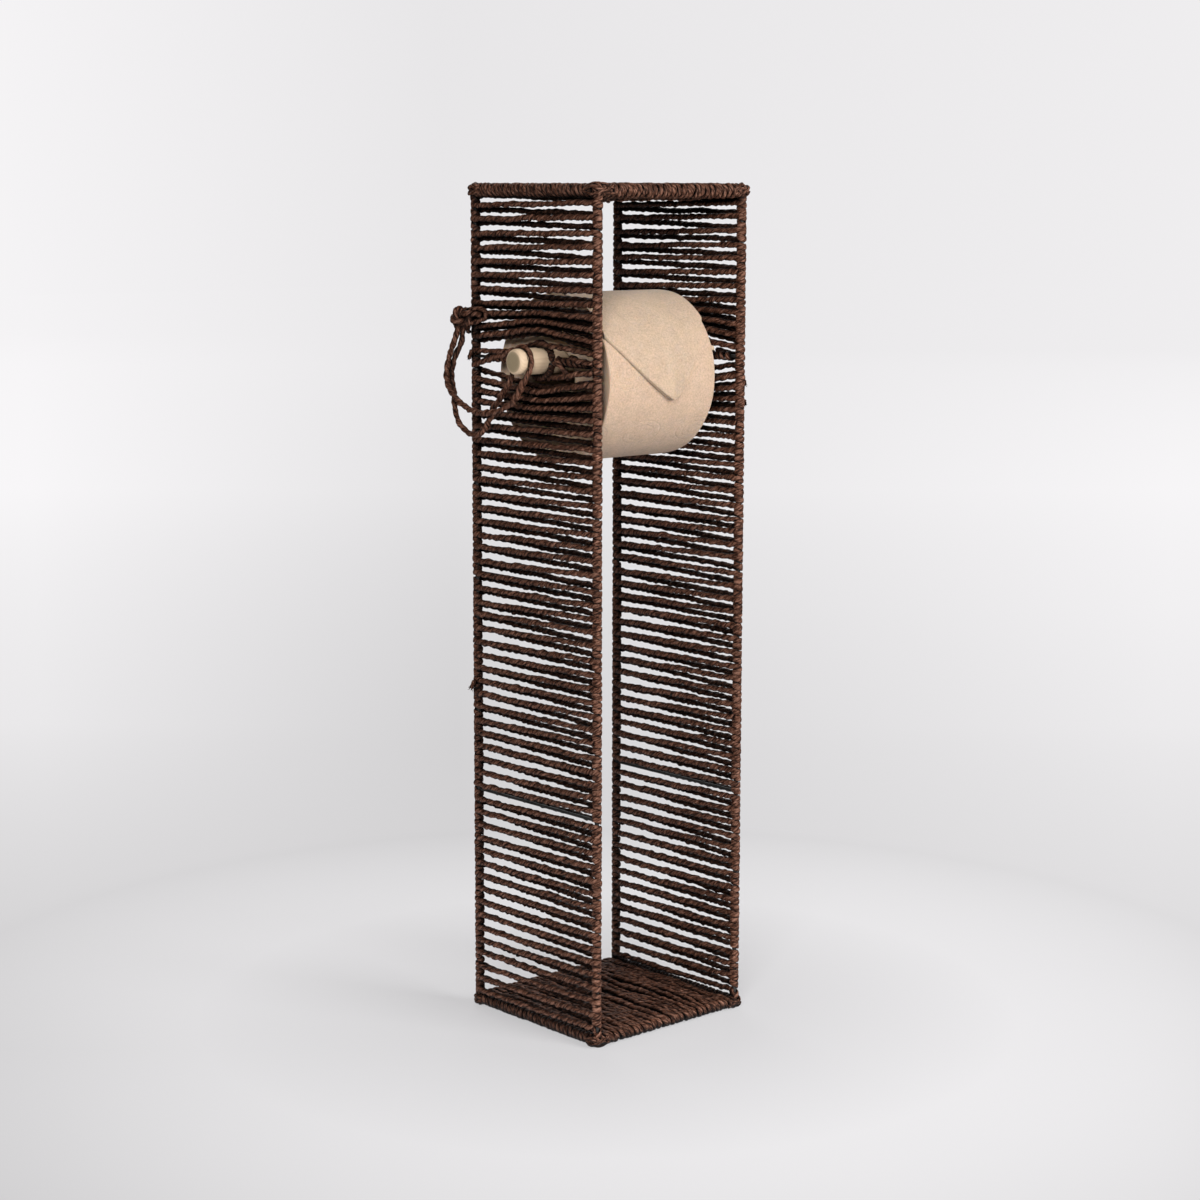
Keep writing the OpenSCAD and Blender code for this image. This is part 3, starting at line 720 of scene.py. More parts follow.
def paint_finish():
    """Black powder coat with a fine orange peel."""
    hs = settings()
    tree = new_finish("black_paint")
    peel = object_place(tree).noise(900.0)
    wear = object_place(tree).noise(45.0, 4.0)
    colour = wear.ranged(0.35, 0.75).mix(shade(hs.frame_colour), shade(WORN_PAINT))
    complete(tree, colour, wear.ranged(0.3, 0.7, 0.38, 0.55), peel, 0.0001, 0.5, {})


def wood_finish():
    """Pale turned wood, with straight grain along the dowel and rings on its ends."""
    hs = settings()
    tree = new_finish("turned_wood")
    heart = object_place(tree).mapped(location=(0.0, -DOWEL_Y - 0.0035, -DOWEL_Z + 0.0052))
    wander = heart.mapped(scale=(9.0, 90.0, 90.0)).noise(1.0)
    _, y, z = heart.parts()
    radius = (y.maths("POWER", 2.0) + z.maths("POWER", 2.0)).maths("SQRT")
    rings = (radius * 5200.0 + wander * 5.0).maths("SINE")
    pores = heart.mapped(scale=(120.0, 2600.0, 2600.0)).noise(1.0, 3.0, 0.6)
    grain = rings.ranged(0.1, 1.0, 0.0, 0.42) + pores.ranged(0.52, 0.78, 0.0, 0.5)
    colour = grain.mix(shade(hs.wood_light), shade(hs.wood_dark))
    colour = colour.lit(heart.noise(70.0).ranged(0.3, 0.7, 0.94, 1.04))
    # The flat ends are duller and painted darker: partly end grain that drinks the finish, partly
    # painted shade on the ends
    facing = signal(tree, "ShaderNodeNewGeometry", "Normal").parts()[0]
    shaded_end_grain = pores.ranged(0.4, 0.7).mix(shade(SHADED_END_GRAIN), shade(SHADED_END_PORES))
    complete(tree, abs(facing).ranged(0.93, 0.995).mix(colour, shaded_end_grain),
             pores.ranged(0.3, 0.8, 0.42, 0.60), pores + rings * 0.15, 0.00012, 0.6,
             {"Specular IOR Level": 0.40})


def roll_coordinates(tree):
    """Place from the roll's middle, distance along it, angle round it, distance from its axis."""
    centred = object_place(tree).mapped(location=(0.0, -DOWEL_Y, -ROLL_Z))
    x, y, z = centred.parts()
    radius = (y.maths("POWER", 2.0) + z.maths("POWER", 2.0)).maths("SQRT")
    return centred, x, z.maths("ARCTAN2", y), radius


def tissue_finish():
    """Unbleached tissue with rows of small embossed ovals and loose fibres."""
    pale = settings().tissue_colour
    tree = new_finish("unbleached_tissue")
    centred, along, angle, _ = roll_coordinates(tree)
    row = angle * (EMBOSS_ROWS / (2 * math.pi)) + 0.61
    stagger = row.maths("FLOOR").maths("FLOORED_MODULO", 2.0) * 0.5
    column = along * (1 / EMBOSS_STEP) + (stagger + 0.29)
    cell = signal(tree, "ShaderNodeCombineXYZ", 0, {
        "X": (column.maths("FRACT") - 0.5) * EMBOSS_STEP,
        "Y": (row.maths("FRACT") - 0.5) * EMBOSS_ROW_WIDTH})
    cell = cell.mapped(rotation=(0.0, 0.0, EMBOSS_LEAN),
                       scale=(1 / EMBOSS_LONG, 1 / EMBOSS_SHORT, 1.0))
    oval = cell.length() + centred.noise(260.0).ranged(0.3, 0.7, -0.035, 0.035)
    outer, inner, core = (
        abs(oval - size).ranged(0.0, width, depth, 0.0)
        for size, width, depth in ((1.0, 0.07, 1.0), (0.66, 0.08, 0.8), (0.36, 0.09, 0.6)))
    dimples = outer.most(inner).most(core) * -1.0
    fibres = centred.noise(1500.0, 4.0, 0.7)
    soft = centred.noise(110.0, 3.0)
    specks = centred.mapped(scale=(1.0, 2.6, 2.6)).noise(620.0).ranged(0.63, 0.74)
    cloud = soft * 0.25 + centred.noise(800.0, 2.0, 0.7) * 0.75
    colour = cloud.ranged(0.34, 0.66).mix(shade(pale, 0.80), shade(pale, 1.15))
    colour = (specks * 0.35).mix(colour, shade(pale, 0.72))
    complete(tree, colour, fibres.ranged(0.3, 0.7, 0.82, 0.95),
             dimples * 0.8 + (fibres * 0.55 + soft * 0.9), 0.00045, 0.55,
             {"Specular IOR Level": 0.15, "Sheen Weight": 0.12, "Sheen Roughness": 0.5,
              **SOFT_PAPER})


def layers_finish():
    """The roll's cut ends: hundreds of thin layers, wound a little unevenly."""
    pale = settings().tissue_colour
    tree = new_finish("tissue_layers")
    centred, _, _, radius = roll_coordinates(tree)
    turn = radius + centred.noise(60.0) * 0.0012
    bands, wide = (
        signal(tree, "ShaderNodeTexNoise", 0, {"W": turn * pace, "Scale": 1.0, "Detail": detail},
               noise_dimensions="1D")
        for pace, detail in ((1400.0, 3.0), (260.0, 1.0)))
    fluff = centred.noise(2200.0, 3.0)
    both = bands * 0.7 + wide * 0.5
    # The cut ends are painted lighter than the tissue itself, a painted light on them; the bands of
    # the layers are their own
    colour = both.ranged(0.42, 0.78).mix(shade(pale, 1.05), shade(pale, 1.30))
    complete(tree, colour, fluff.ranged(0.3, 0.7, 0.86, 0.97), both + fluff * 0.3, 0.0005, 0.8,
             {"Specular IOR Level": 0.12, **SOFT_PAPER})


def card_finish():
    """Grey-brown card with the seam of a spirally wound tube."""
    pale = settings().card_colour
    tree = new_finish("wound_card")
    centred, along, angle, _ = roll_coordinates(tree)
    turn = (along * (1 / SEAM_PITCH) + angle * (1 / (2 * math.pi))).maths("FRACT")
    seam = abs(turn - 0.5).ranged(0.0, 0.012, 1.0, 0.0)
    flecks = centred.noise(700.0, 4.0)
    colour = flecks.ranged(0.35, 0.7).mix(shade(pale, 0.82), shade(pale))
    colour = (seam * 0.6).mix(colour, shade(pale, 0.5))
    complete(tree, colour, flecks.ranged(0.3, 0.7, 0.72, 0.88), flecks * 0.3 - seam,
             0.00025, 0.7, {})


def backdrop_level(behind, across):
    """Painted brightness of the paper sweep: darkest behind the stand, brighter to both sides."""
    depth = behind.most(-0.6) + 1.8
    aside = across / depth + 0.06
    near = behind.ranged(-0.35, -0.10, 0.020, 0.0) + behind.ranged(-4.0, -0.6, 0.135, 0.0)
    level = behind.ranged(0.9, 3.3, 0.650, 0.775) + (behind.ranged(3.3, 7.0, 0.0, 0.030) + near)
    left = aside.ranged(-0.168, 0.0, 1.0, 0.0) * (
        behind.ranged(-0.1, 1.0, -0.03, 0.165) - behind.ranged(3.0, 9.0, 0.0, 0.06)
        + behind.ranged(-3.0, -0.6, 0.135, 0.0))
    right = aside.ranged(0.0, 0.286) * (
        behind.ranged(0.1, 1.0, 0.075, 0.185)
        - (behind.ranged(1.8, 8.0, 0.0, 0.13) + behind.ranged(-3.0, -0.6, 0.02, 0.0)))
    return level + (left + right)


def floor_finish():
    """A pale floor that keeps the stand's shadow and turns into the backdrop far away."""
    hs = settings()
    tree = new_finish("studio_floor")
    shader = tree.nodes["Principled BSDF"]
    at = object_place(tree)
    grain = at.noise(3.0).ranged(0.3, 0.7)
    colour = grain.mix(shade(hs.floor_colour, 0.99), shade(hs.floor_colour))
    tree.links.new(colour.socket, shader.inputs["Base Color"])
    shader.inputs["Roughness"].default_value = 0.9
    shader.inputs["Specular IOR Level"].default_value = 0.1
    away = at.length()
    level = backdrop_level(at.toward(BEHIND), at.toward(ACROSS))
    # The floor glows: to the camera it shows the backdrop's painted brightness and half hides the
    # stand's shadow near it, and near the stand its glow is a painted bounce light that lights the
    # stand from below
    seen = signal(tree, "ShaderNodeLightPath", "Is Camera Ray")
    glow = signal(tree, "ShaderNodeEmission", 0, {
        "Color": level.mix(shade(BLACK), shade(hs.backdrop_tint)),
        "Strength": seen.most(away.ranged(0.30, 1.10, 1.35, 0.10))})
    share = away.ranged(0.12, 0.55, 0.50, 1.0).most(seen.ranged(0.0, 1.0, 0.90, 0.0))
    blend = add(tree, "ShaderNodeMixShader", {0: share, 1: Signal(shader), 2: glow})
    tree.links.new(blend.outputs[0], tree.nodes["Material Output"].inputs["Surface"])


# ---- turned pieces

def only(piece):
    bpy.ops.object.select_all(action="DESELECT")
    piece.select_set(True)
    bpy.context.view_layer.objects.active = piece


def both_ends(low, high, left, right, steps, outer):
    """Stations along X from the profiles of both ends, each (inset, radius) from its edge."""
    stations = [(low + dx, r) for dx, r in left]
    stations += [(low + (high - low) * k / steps, outer) for k in range(1, steps)]
    return stations + [(high - dx, r) for dx, r in reversed(right)]


def turned(name, stations, axis_z, segments, hollow):
    """A round piece along X, drawn out from a circle through (place, radius) stations."""
    bpy.ops.object.select_all(action="DESELECT")
    x, radius = stations[0]
    bpy.ops.mesh.primitive_circle_add(
        vertices=segments, radius=radius, fill_type="NOTHING" if hollow else "NGON",
        location=(x, DOWEL_Y, axis_z), rotation=(0.0, math.pi / 2, 0.0))
    piece = bpy.context.object
    piece.name = piece.data.name = name
    bpy.ops.object.mode_set(mode="EDIT")
    bpy.ops.mesh.select_all(action="SELECT")
    for next_x, next_radius in stations[1:]:
        bpy.ops.mesh.extrude_region_move(TRANSFORM_OT_translate={"value": (next_x - x, 0.0, 0.0)})
        share = next_radius / radius
        bpy.ops.transform.resize(value=(1.0, share, share),
                                 center_override=(next_x, DOWEL_Y, axis_z))
        x, radius = next_x, next_radius
    bpy.ops.mesh.select_all(action="SELECT")
    if hollow:
        bpy.ops.mesh.remove_doubles(threshold=0.00002)
    bpy.ops.mesh.normals_make_consistent(inside=False)
    bpy.ops.object.mode_set(mode="OBJECT")
    bpy.ops.object.transform_apply(location=True, rotation=True, scale=True)
    return piece


def displaced(piece, scale, strength, depth=1):
    """A slow unevenness pressed into a piece."""
    only(piece)
    texture = bpy.data.textures.new(piece.name + "_unevenness", type="CLOUDS")
    texture.noise_scale = scale
    texture.noise_depth = depth
    modifier = piece.modifiers.new("Unevenness", "DISPLACE")
    modifier.texture = texture
    modifier.texture_coords = "LOCAL"
    modifier.strength = strength
    modifier.mid_level = 0.5
    bpy.ops.object.modifier_apply(modifier=modifier.name)


def finished(piece, material, body, node, smooth_angle):
    """Give a piece its finish and its body, and let it take a node's place."""
    only(piece)
    bpy.ops.object.shade_smooth_by_angle(angle=math.radians(smooth_angle))
    piece.data.materials.clear()
    piece.data.materials.append(bpy.data.materials[material])
    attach(piece, body)
    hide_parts(node)


# ---- operators

class ROLLHOLDER_OT_set_camera(bpy.types.Operator):
    """Set the camera at the height and the angle of the picture"""
    bl_idname = "roll_holder.set_camera"
    bl_label = "Set Camera"

    def execute(self, context):
        data = bpy.data.cameras.new("picture_camera")
        data.sensor_width = 36.0
        data.lens = CAMERA_LENS
        data.clip_start = 0.05
        data.clip_end = 60.0
        camera = bpy.data.objects.new("picture_camera", data)
        camera.location = CAMERA_AT
        heading, dip, roll = (math.radians(a) for a in CAMERA_TURN)
        turn = (Matrix.Rotation(heading, 4, "Z") @ Matrix.Rotation(dip, 4, "X")
                @ Matrix.Rotation(roll, 4, "Z"))
        camera.rotation_euler = turn.to_euler()
        context.scene.collection.objects.link(camera)
        context.scene.camera = camera
        return {"FINISHED"}


class ROLLHOLDER_OT_mix_finishes(bpy.types.Operator):
    """Make the finishes of the cord, the paint, the wood, the paper and the card"""
    bl_idname = "roll_holder.mix_finishes"
    bl_label = "Mix Finishes"

    def execute(self, context):
        for make in (cord_finish, paint_finish, wood_finish, tissue_finish,
                     layers_finish, card_finish, floor_finish):
            make()
        return {"FINISHED"}


class ROLLHOLDER_OT_tie_tether(bpy.types.Operator):
    """Tie the tether: its knot and hitch on the back left post, and the loop to the dowel"""
    bl_idname = "roll_holder.tie_tether"
    bl_label = "Tie Tether"

    def execute(self, context):
        share = np.linspace(0.0, 2 * math.pi, 240, endpoint=False)
        ball = np.stack([np.sin(share) + 2 * np.sin(2 * share),
                         1.2 * np.sin(3 * share),
                         1.25 * (np.cos(share) - 2 * np.cos(2 * share))], 1) * KNOT_SIZE
        turn = np.array(Matrix.Rotation(math.radians(25), 3, "X")
                        @ Matrix.Rotation(math.radians(-20), 3, "Z"))
        middle = np.array(KNOT_AT)
        ball = ball @ turn.T + middle
        ball = np.vstack([ball, ball[:4]])
        heart = (ball - middle) @ np.array(Matrix.Rotation(1.4, 3, "Y")).T * 0.80
        lines = [free_line(ball), free_line(heart + middle)]
        for route in KNOT_STRANDS:
            route = [(-HALF_W + a, HALF_D + b, KNOT_AT.z + c) for a, b, c in route]
            lines.append(free_line(smooth_line(route), 0.1, 0.94))
        knot = cord_piece("tether_knot_tied", lines, "stand", 41)
        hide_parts("tether_knot")

        points = smooth_line(TETHER_ROUTE)
        loop = cord_for("tether_loop", [free_line(points)], 42)
        loop.parent = None
        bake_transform(loop)
        return {"FINISHED"}


class ROLLHOLDER_OT_paint_frame(bpy.types.Operator):
    """Paint the posts, the rods and the dowel rings black"""
    bl_idname = "roll_holder.paint_frame"
    bl_label = "Paint Frame"

    def execute(self, context):
        paint = bpy.data.materials["black_paint"]
        for name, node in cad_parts.items():
            if name.startswith(("post_", "bottom_rod", "top_rod", "cross_rod", "carrier_r")):
                for slot in node.material_slots:
                    slot.material = paint
        return {"FINISHED"}


class ROLLHOLDER_OT_wind_sides(bpy.types.Operator):
    """Wind the two sides, turn by turn, bent round the dowel rings"""
    bl_idname = "roll_holder.wind_sides"
    bl_label = "Wind Sides"

    def execute(self, context):
        for side, x, seed in (("left", -HALF_W, 11), ("right", HALF_W, 12)):
            rng = np.random.default_rng(seed)
            heights = side_heights(rng)
            for part, first, last in SIDE_PARTS:
                line = wound_side(heights, first, last, rng)
                lines = [placed(line, (x, 0, 0), WOUND_OUT, (0, 1, 0), (0, 0, 1))]
                if part == "lower":
                    lines += [post_end(x, y, LOW_ROD_TOP, heights[0][n] - 0.0008, rng)
                              for y, n in ((-HALF_D, 0), (HALF_D, 1))]
                if part == "upper":
                    lines.append(post_end(x, HALF_D, heights[last - 1][2] + 0.0004,
                                          HIGH_ROD_UNDERSIDE, rng))
                cord_for(f"{side}_winding_{part}", lines, int(rng.integers(1 << 30)))
        return {"FINISHED"}


class ROLLHOLDER_OT_wind_decks(bpy.types.Operator):
    """Wind the base and the top, strand beside strand"""
    bl_idname = "roll_holder.wind_decks"
    bl_label = "Wind Base and Top"

    def execute(self, context):
        for deck, _, z, out, radius, seed in DECKS:
            rng = np.random.default_rng(seed)
            for half, sx, first, last, before, after in DECK_HALVES:
                line = wound_deck(first, last, before, after, radius, rng)
                lines = [placed(line, (0, 0, z), (0, 0, out), (0, 1, 0), (1, 0, 0))]
                for sy in (-1, 1):
                    lines += corner_wraps(sx, sy, z, out, radius / DECK_FLAT)
                cord_for(f"{deck}_winding_{half}", lines, int(rng.integers(1 << 30)),
                         flat=DECK_FLAT, spread=0.0047)
        return {"FINISHED"}


class ROLLHOLDER_OT_wind_edges(bpy.types.Operator):
    """Wind the left and right edges of the base and the top, turn against turn"""
    bl_idname = "roll_holder.wind_edges"
    bl_label = "Wind Edges"

    def execute(self, context):
        pitch = settings().edge_pitch
        turns = round((2 * HALF_D + 0.0062) / pitch)
        for _, edge, z, _, radius, _ in DECKS:
            for side, x in (("left", -HALF_W), ("right", HALF_W)):
                rng = np.random.default_rng(len(edge) * 10 + len(side))
                line = helix(radius, turns, pitch, rng)
                line = placed(line, (x, 0, z), (1, 0, 0), (0, 0, -1), (0, 1, 0))
                cord_for(f"edge_winding_{edge}_{side}", [line], int(rng.integers(1 << 30)),
                         flat=DECK_FLAT, spread=0.0044)
        return {"FINISHED"}


class ROLLHOLDER_OT_whip_rings(bpy.types.Operator):
    """Whip the dowel rings and the short rods beside them"""
    bl_idname = "roll_holder.whip_rings"
    bl_label = "Whip Rings"

    def execute(self, context):
        for side, out, seed in (("left", -1.0, 31), ("right", 1.0, 32)):
            x = out * HALF_W
            rng = np.random.default_rng(seed)
            share = np.linspace(0.0, 1.0, WHIP_TURNS * 40)
            round_ring = math.radians(185) + WHIP_ANGLE * share
            round_wire = math.pi + 2 * math.pi * WHIP_TURNS * (share - 0.5)
            outward = np.stack([np.sin(round_wire), np.cos(round_wire) * np.cos(round_ring),
                                np.cos(round_wire) * np.sin(round_ring)], 1)
            reach = (RING_MEAN + WHIP_MEAN * np.cos(round_wire)
                     + drift(rng, len(share), 20, 0.00007))
            points = np.stack([WHIP_MEAN * np.sin(round_wire), reach * np.cos(round_ring),
                               reach * np.sin(round_ring)], 1)
            points += np.array([x, DOWEL_Y, DOWEL_Z])
            room = reach * WHIP_ANGLE / WHIP_TURNS / WHIP_WIDTH
            line = [points, outward, np.ones_like(share), np.clip(room, 0.7, 1.0)]
            cord_for(f"ring_whipping_{side}", [line], 33, flat=0.00135, spread=WHIP_WIDTH,
                     lay=0.0075)

            lines = []
            for toward, turns, pitch, angle in ((-1, -6.6, 0.0052, 0.5), (1, 7.6, 0.0054, 2.0)):
                along = DOWEL_Y + toward * (CARRIER_START + abs(turns) / 2 * pitch)
                lines.append(placed(helix(0.0025, turns, pitch, rng, angle),
                                    (x, along, DOWEL_Z), (1, 0, 0), (0, 0, 1), (0, 1, 0)))
            strands = RING_STRANDS + ([HANGING_END] if side == "left" else [])
            for route, press, size in strands:
                route = [(x + out * a, b, DOWEL_Z + c) for a, b, c in route]
                lines.append(free_line(smooth_line(route), press, size))
            cord_for(f"carrier_whipping_{side}", lines, 34, spread=0.0044)
        return {"FINISHED"}


class ROLLHOLDER_OT_fray_ends(bpy.types.Operator):
    """Leave the cord's cut ends frayed against the posts"""
    bl_idname = "roll_holder.fray_ends"
    bl_label = "Fray Ends"

    def execute(self, context):
        pitch = settings().side_pitch
        rng = np.random.default_rng(51)
        share = np.linspace(0.0, 1.0, 24)[:, None]
        stubs, fibres = [], []
        for out, back, turns_up, size in CUT_ENDS:
            top = np.array([out * (HALF_W + 0.0037), back * HALF_D, DOWEL_Z + turns_up * pitch])
            tip = top + np.array([out * 0.0022, back * 0.0006, -0.0048]) * size
            swing = np.array([out * 0.0006, -back * 0.0010, 0.0]) * np.sin(math.pi * share)
            points = top + (tip - top) * share + swing
            stubs.append(free_line(points, 0.2, 0.80))
            fibres += tuft_lines(tip, points[-1] - points[-6], 16, 0.0032 * size, rng)
        stub = cord_piece("cord_ends_cut", stubs, "stand", 52)
        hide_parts("cord_ends")
        cord_piece("cord_ends_frayed", fibres, "stand", 53, width=0.00062, flat=0.0004,
                   spread=0.0007, lay=0.006)
        return {"FINISHED"}


class ROLLHOLDER_OT_turn_dowel(bpy.types.Operator):
    """Turn the dowel, with its grooves and rounded ends"""
    bl_idname = "roll_holder.turn_dowel"
    bl_label = "Turn Dowel"

    groove_inset: sized("Groove Inset", 0.0085, "From the dowel's end to the groove's middle")
    groove_width: sized("Groove Width", 0.0056, "Width of the groove where it opens")
    groove_depth: sized("Groove Depth", 0.0019, "Depth of the groove")
    end_width: sized("End Width", 0.0129, "Diameter of the flat on each end")
    shoulder: sized("Shoulder", 0.0034, "Length of the rounded shoulder")

    def execute(self, context):
        end_r, groove_r = self.end_width / 2, self.groove_width / 2
        edge = 0.00012
        half = [(0.0, 0.0006), (0.0, self.end_width / 4), (0.0, end_r - 0.0004)]
        for a in np.radians(np.linspace(0, 90, 9)):
            half.append((edge + (self.shoulder - edge) * (1 - math.cos(a)),
                         end_r + (DOWEL_R - end_r) * math.sin(a)))
        cut = (groove_r ** 2 + self.groove_depth ** 2) / (2 * self.groove_depth)
        opening = math.asin(groove_r / cut)
        half.append((self.groove_inset - groove_r - 0.00035, DOWEL_R))
        for k in range(13):
            a = opening * (k / 6 - 1)
            depth = cut * math.cos(a) - (cut - self.groove_depth)
            lip = 0.00008 if k in (0, 12) else 0.0
            half.append((self.groove_inset + cut * math.sin(a), DOWEL_R - depth - lip))
        half.append((self.groove_inset + groove_r + 0.00035, DOWEL_R))
        stations = both_ends(DOWEL_LOW.x, DOWEL_HIGH.x, half, half, 8, DOWEL_R)
        dowel = turned("dowel_turned", stations, DOWEL_Z, 96, hollow=False)
        finished(dowel, "turned_wood", "dowel", "dowel", 32.0)
        return {"FINISHED"}


class ROLLHOLDER_OT_wind_roll(bpy.types.Operator):
    """Wind the roll of tissue on its card tube"""
    bl_idname = "roll_holder.wind_roll"
    bl_label = "Wind Roll"

    rim: sized("Rim", 0.0011, "Rounding where the outer face meets the cut ends")

    def execute(self, context):
        low, high = ROLL_LOW.x, ROLL_HIGH.x
        bore = CORE_R + 0.00005
        rng = np.random.default_rng(61)
        face = np.linspace(bore, ROLL_R - self.rim, 30)
        corner = [(self.rim * (1 - math.sin(a)), ROLL_R - self.rim * (1 - math.cos(a)))
                  for a in np.radians((70, 45, 20, 0))]
        ends = []
        for order in (1, -1):
            steps = np.abs(drift(rng, 30, 2, 0.00018))
            steps[0] = steps[-1] = 0.0
            ends.append(list(zip(steps[::order], face)) + corner)
        stations = both_ends(low, high, *ends, 26, ROLL_R)
        stations += [(high - (high - low) * k / 6, bore) for k in range(1, 7)]
        paper = turned("roll_paper_wound", stations, ROLL_Z, 192, hollow=True)
        displaced(paper, 0.028, -0.0005)
        displaced(paper, 0.006, -0.00018)
        finished(paper, "unbleached_tissue", "roll", "roll_paper", 50.0)
        paper.data.materials.append(bpy.data.materials["tissue_layers"])
        for polygon in paper.data.polygons:
            if abs(polygon.normal.x) > 0.8:
                polygon.material_index = 1

        outer, inner, soft = CORE_R - 0.00002, CORE_R - 0.0008, 0.00025
        profile = [(soft, inner), (0.0, inner + soft), (0.0, outer - soft), (soft, outer)]
        stations = both_ends(low, high, profile, profile, 1, outer)
        stations += [(high - soft - (high - low - 2 * soft) * k / 8, inner) for k in range(1, 9)]
        tube = turned("roll_core_card", stations, ROLL_Z, 128, hollow=True)
        finished(tube, "wound_card", "roll", "roll_core", 35.0)
        return {"FINISHED"}


class ROLLHOLDER_OT_fold_roll_end(bpy.types.Operator):
    """Fold the roll's loose end to a point"""
    bl_idname = "roll_holder.fold_roll_end"
    bl_label = "Fold Roll End"

    lift: sized("Lift", 0.0042, "How far the fold stands off the roll")
    thickness: sized("Thickness", 0.00030, "Thickness of the folded paper")

    def execute(self, context):
        low, high = ROLL_LOW.x + 0.0004, ROLL_HIGH.x - 0.0002
        tip_x = ROLL_LOW.x + 0.578 * (ROLL_HIGH.x - ROLL_LOW.x)
        blunt_x = tip_x + 0.0082
        columns, rows = 141, 96
        x = np.linspace(low, high, columns)
        tip, left, right, back = (math.radians(a) for a in FOLD_ANGLES)
        bow = 0.30 * (x - low) * (tip_x - x) / (tip_x - low) ** 2
        fold = left + (tip - left) * (x - low) / (tip_x - low) - bow
        blunt = tip + 0.03 * (x - tip_x) / (blunt_x - tip_x)
        rest = right + (tip + 0.03 - right) * (high - x) / (high - blunt_x)
        edge = np.where(x < tip_x, fold, np.where(x < blunt_x, blunt, rest))
        share = np.linspace(0.0, 1.0, rows)[:, None] ** 0.85
        angle = back + (edge[None] - back) * share
        across = np.broadcast_to(x[None], angle.shape)
        away = ROLL_R * (angle - edge[None]) * math.cos(math.radians(40))

        near_tip = np.exp(-((across - tip_x) / 0.020) ** 2)
        beside = np.clip(1.0 - (across - tip_x) / 0.012, 0.12, 1.0)
        standing = np.where(across < tip_x, 1.0, beside) * (0.52 + 0.48 * near_tip)
        roundness = np.sqrt(np.clip(1 - (1 - np.clip(away / 0.0012, 0, 1)) ** 2, 0, 1))
        folded = np.exp(-(away / 0.024) ** 2)
        lifted = 0.00020 + self.lift * standing * folded
        rim_lift = (0.0006 * np.clip((across - high + 0.010) / 0.010, 0, 1)
                    * np.exp(-((angle - right) / 0.45) ** 2))
        ripple = (0.00016 * np.sin(across * 260 + angle * 5) * np.sin(angle * 9 + 1.0)
                  + 0.0001 * np.sin(across * 610 + 2.0) * folded)
        sunk = eased((angle - math.radians(72)) / math.radians(26))
        top = (ROLL_R + 0.0001 + (lifted + ripple) * (0.35 + 0.65 * roundness) * (1 - sunk)
               + rim_lift - 0.0006 * sunk)
        under = top - self.thickness - 0.0001 * folded
        faces = [np.stack([across, DOWEL_Y - radius * np.cos(angle),
                           ROLL_Z + radius * np.sin(angle)], 2).reshape(-1, 3)
                 for radius in (top, under)]

        size = rows * columns
        r, c = np.meshgrid(np.arange(rows - 1), np.arange(columns - 1), indexing="ij")
        a = (r * columns + c).ravel()
        b, d, e = a + 1, a + columns, a + columns + 1
        upper = np.concatenate([np.stack([a, d, b], 1), np.stack([b, d, e], 1)])
        lower = upper[:, ::-1] + size
        rim = np.concatenate([np.arange(columns - 1),
                              np.arange(rows - 1) * columns + columns - 1,
                              size - 1 - np.arange(columns - 1),
                              (rows - 1 - np.arange(rows - 1)) * columns])
        after = np.roll(rim, -1)
        walls = np.concatenate([np.stack([rim, after, rim + size], 1),
                                np.stack([after, after + size, rim + size], 1)])
        flap = mesh_piece("roll_end_folded", np.concatenate(faces),
                          np.concatenate([upper, lower, walls]), "unbleached_tissue", "roll")
        only(flap)
        bpy.ops.object.mode_set(mode="EDIT")
        bpy.ops.mesh.select_all(action="SELECT")
        bpy.ops.mesh.normals_make_consistent(inside=False)
        bpy.ops.object.mode_set(mode="OBJECT")
        finished(flap, "unbleached_tissue", "roll", "roll_end_flap", 50.0)
        return {"FINISHED"}


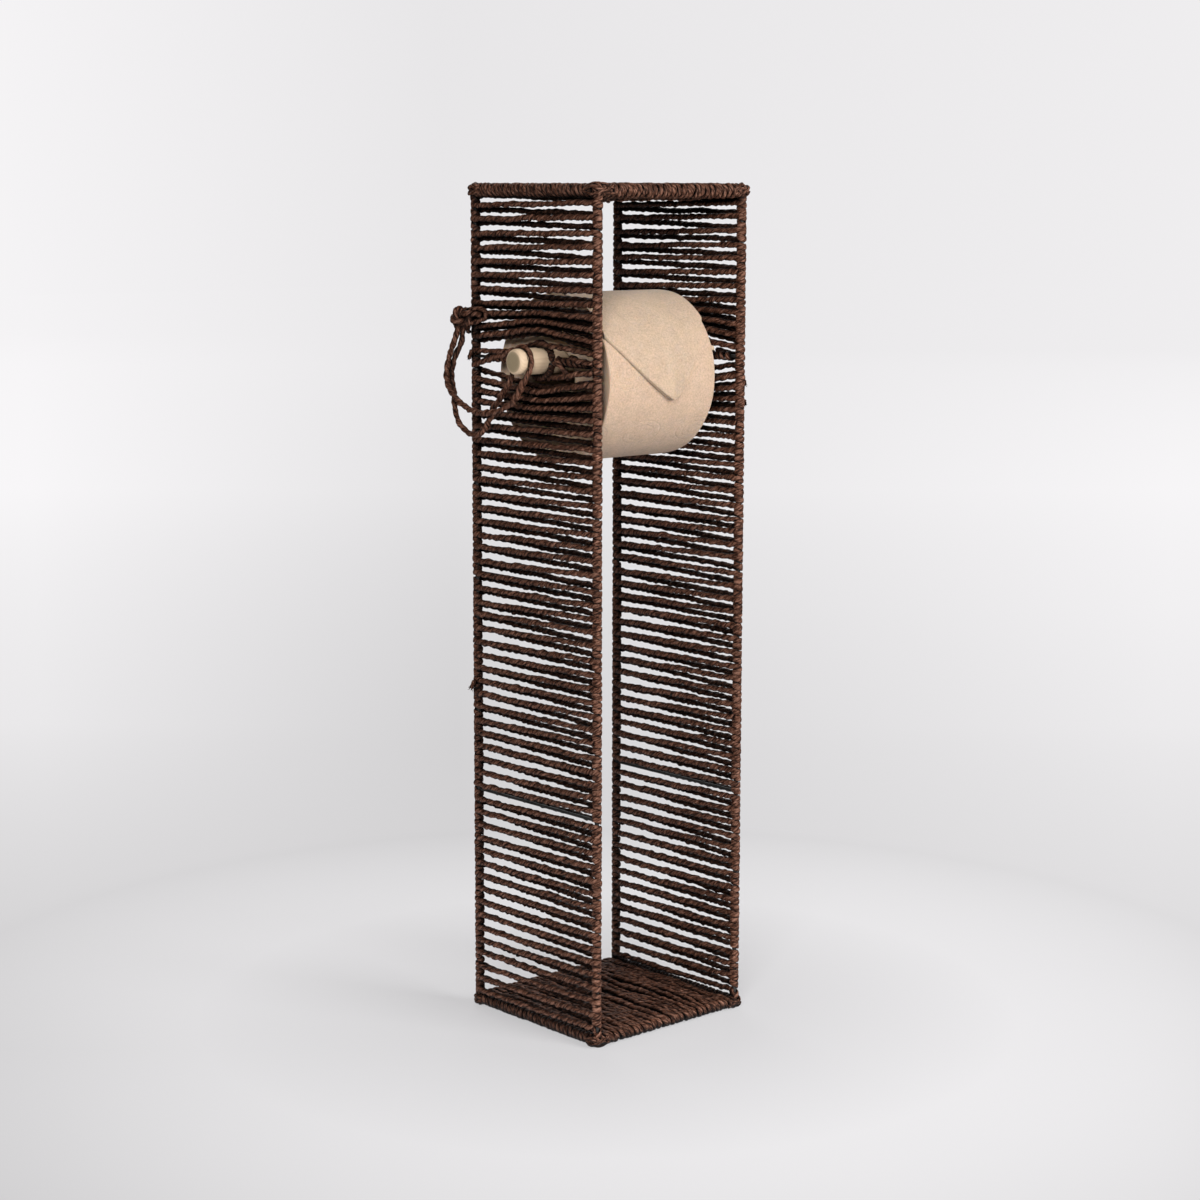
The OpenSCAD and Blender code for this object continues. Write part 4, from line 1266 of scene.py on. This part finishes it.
class ROLLHOLDER_OT_set_stage(bpy.types.Operator):
    """Lay the pale floor and hang the soft lights"""
    bl_idname = "roll_holder.set_stage"
    bl_label = "Set Stage"

    def execute(self, context):
        hs = settings()
        scene = context.scene
        bpy.ops.object.select_all(action="DESELECT")
        bpy.ops.mesh.primitive_grid_add(x_subdivisions=24, y_subdivisions=24, size=24.0,
                                        location=(0.0, 0.0, -0.0001))
        floor = context.object
        floor.name = floor.data.name = "studio_floor"
        bpy.ops.object.transform_apply(location=True, rotation=True, scale=True)
        floor.data.materials.append(bpy.data.materials["studio_floor"])

        for name, share, size, spot in LIGHTS:
            data = bpy.data.lights.new(name, "AREA")
            data.energy = hs.key_power * share
            data.size = size
            lamp = bpy.data.objects.new(name, data)
            lamp.location = spot
            aim = Vector(LIT_POINT) - Vector(spot)
            lamp.rotation_euler = aim.to_track_quat("-Z", "Y").to_euler()
            scene.collection.objects.link(lamp)

        world = scene.world or bpy.data.worlds.new("studio")
        scene.world = world
        world.use_nodes = True
        tree = world.node_tree
        tree.nodes.clear()
        seen = signal(tree, "ShaderNodeLightPath", "Is Camera Ray")
        fill = signal(tree, "ShaderNodeBackground", 0,
                      {"Color": shade(WHITE), "Strength": hs.sky_strength})
        # The camera sees the backdrop's painted brightness; other rays see only the plain fill
        way = signal(tree, "ShaderNodeTexCoord", "Generated")
        far = (way.toward(BEHIND) * 30.0).most(9.0)
        level = backdrop_level(far, way.toward(ACROSS) * 31.0)
        backdrop = signal(tree, "ShaderNodeBackground", 0, {
            "Color": level.mix(shade(BLACK), shade(hs.backdrop_tint)), "Strength": 1.0})
        both = signal(tree, "ShaderNodeMixShader", 0, {0: seen, 1: fill, 2: backdrop})
        add(tree, "ShaderNodeOutputWorld", {"Surface": both})
        scene.view_settings.view_transform = "Standard"
        return {"FINISHED"}


OPERATORS = (
    ROLLHOLDER_OT_set_camera, ROLLHOLDER_OT_mix_finishes, ROLLHOLDER_OT_tie_tether,
    ROLLHOLDER_OT_paint_frame, ROLLHOLDER_OT_wind_sides, ROLLHOLDER_OT_wind_decks,
    ROLLHOLDER_OT_wind_edges, ROLLHOLDER_OT_whip_rings, ROLLHOLDER_OT_fray_ends,
    ROLLHOLDER_OT_turn_dowel, ROLLHOLDER_OT_wind_roll, ROLLHOLDER_OT_fold_roll_end,
    ROLLHOLDER_OT_set_stage,
)


class ROLLHOLDER_PT_panel(bpy.types.Panel):
    """The holder's pieces and the sizes that they are made from"""
    bl_label = "Roll Holder"
    bl_idname = "ROLLHOLDER_PT_panel"
    bl_space_type = "VIEW_3D"
    bl_region_type = "UI"
    bl_category = "Roll Holder"

    def draw(self, context):
        layout = self.layout
        hs = context.scene.roll_holder
        for name in hs.__annotations__:
            layout.prop(hs, name)
        for operator in OPERATORS:
            layout.operator(operator.bl_idname)


CLASSES = (RollHolderSettings, *OPERATORS, ROLLHOLDER_PT_panel)


def register():
    for cls in CLASSES:
        bpy.utils.register_class(cls)
    bpy.types.Scene.roll_holder = bpy.props.PointerProperty(type=RollHolderSettings)


def unregister():
    del bpy.types.Scene.roll_holder
    for cls in reversed(CLASSES):
        bpy.utils.unregister_class(cls)


def main():
    register()
    for operator in OPERATORS:
        family, name = operator.bl_idname.split(".")
        getattr(getattr(bpy.ops, family), name)()


if __name__ == "__main__":
    main()
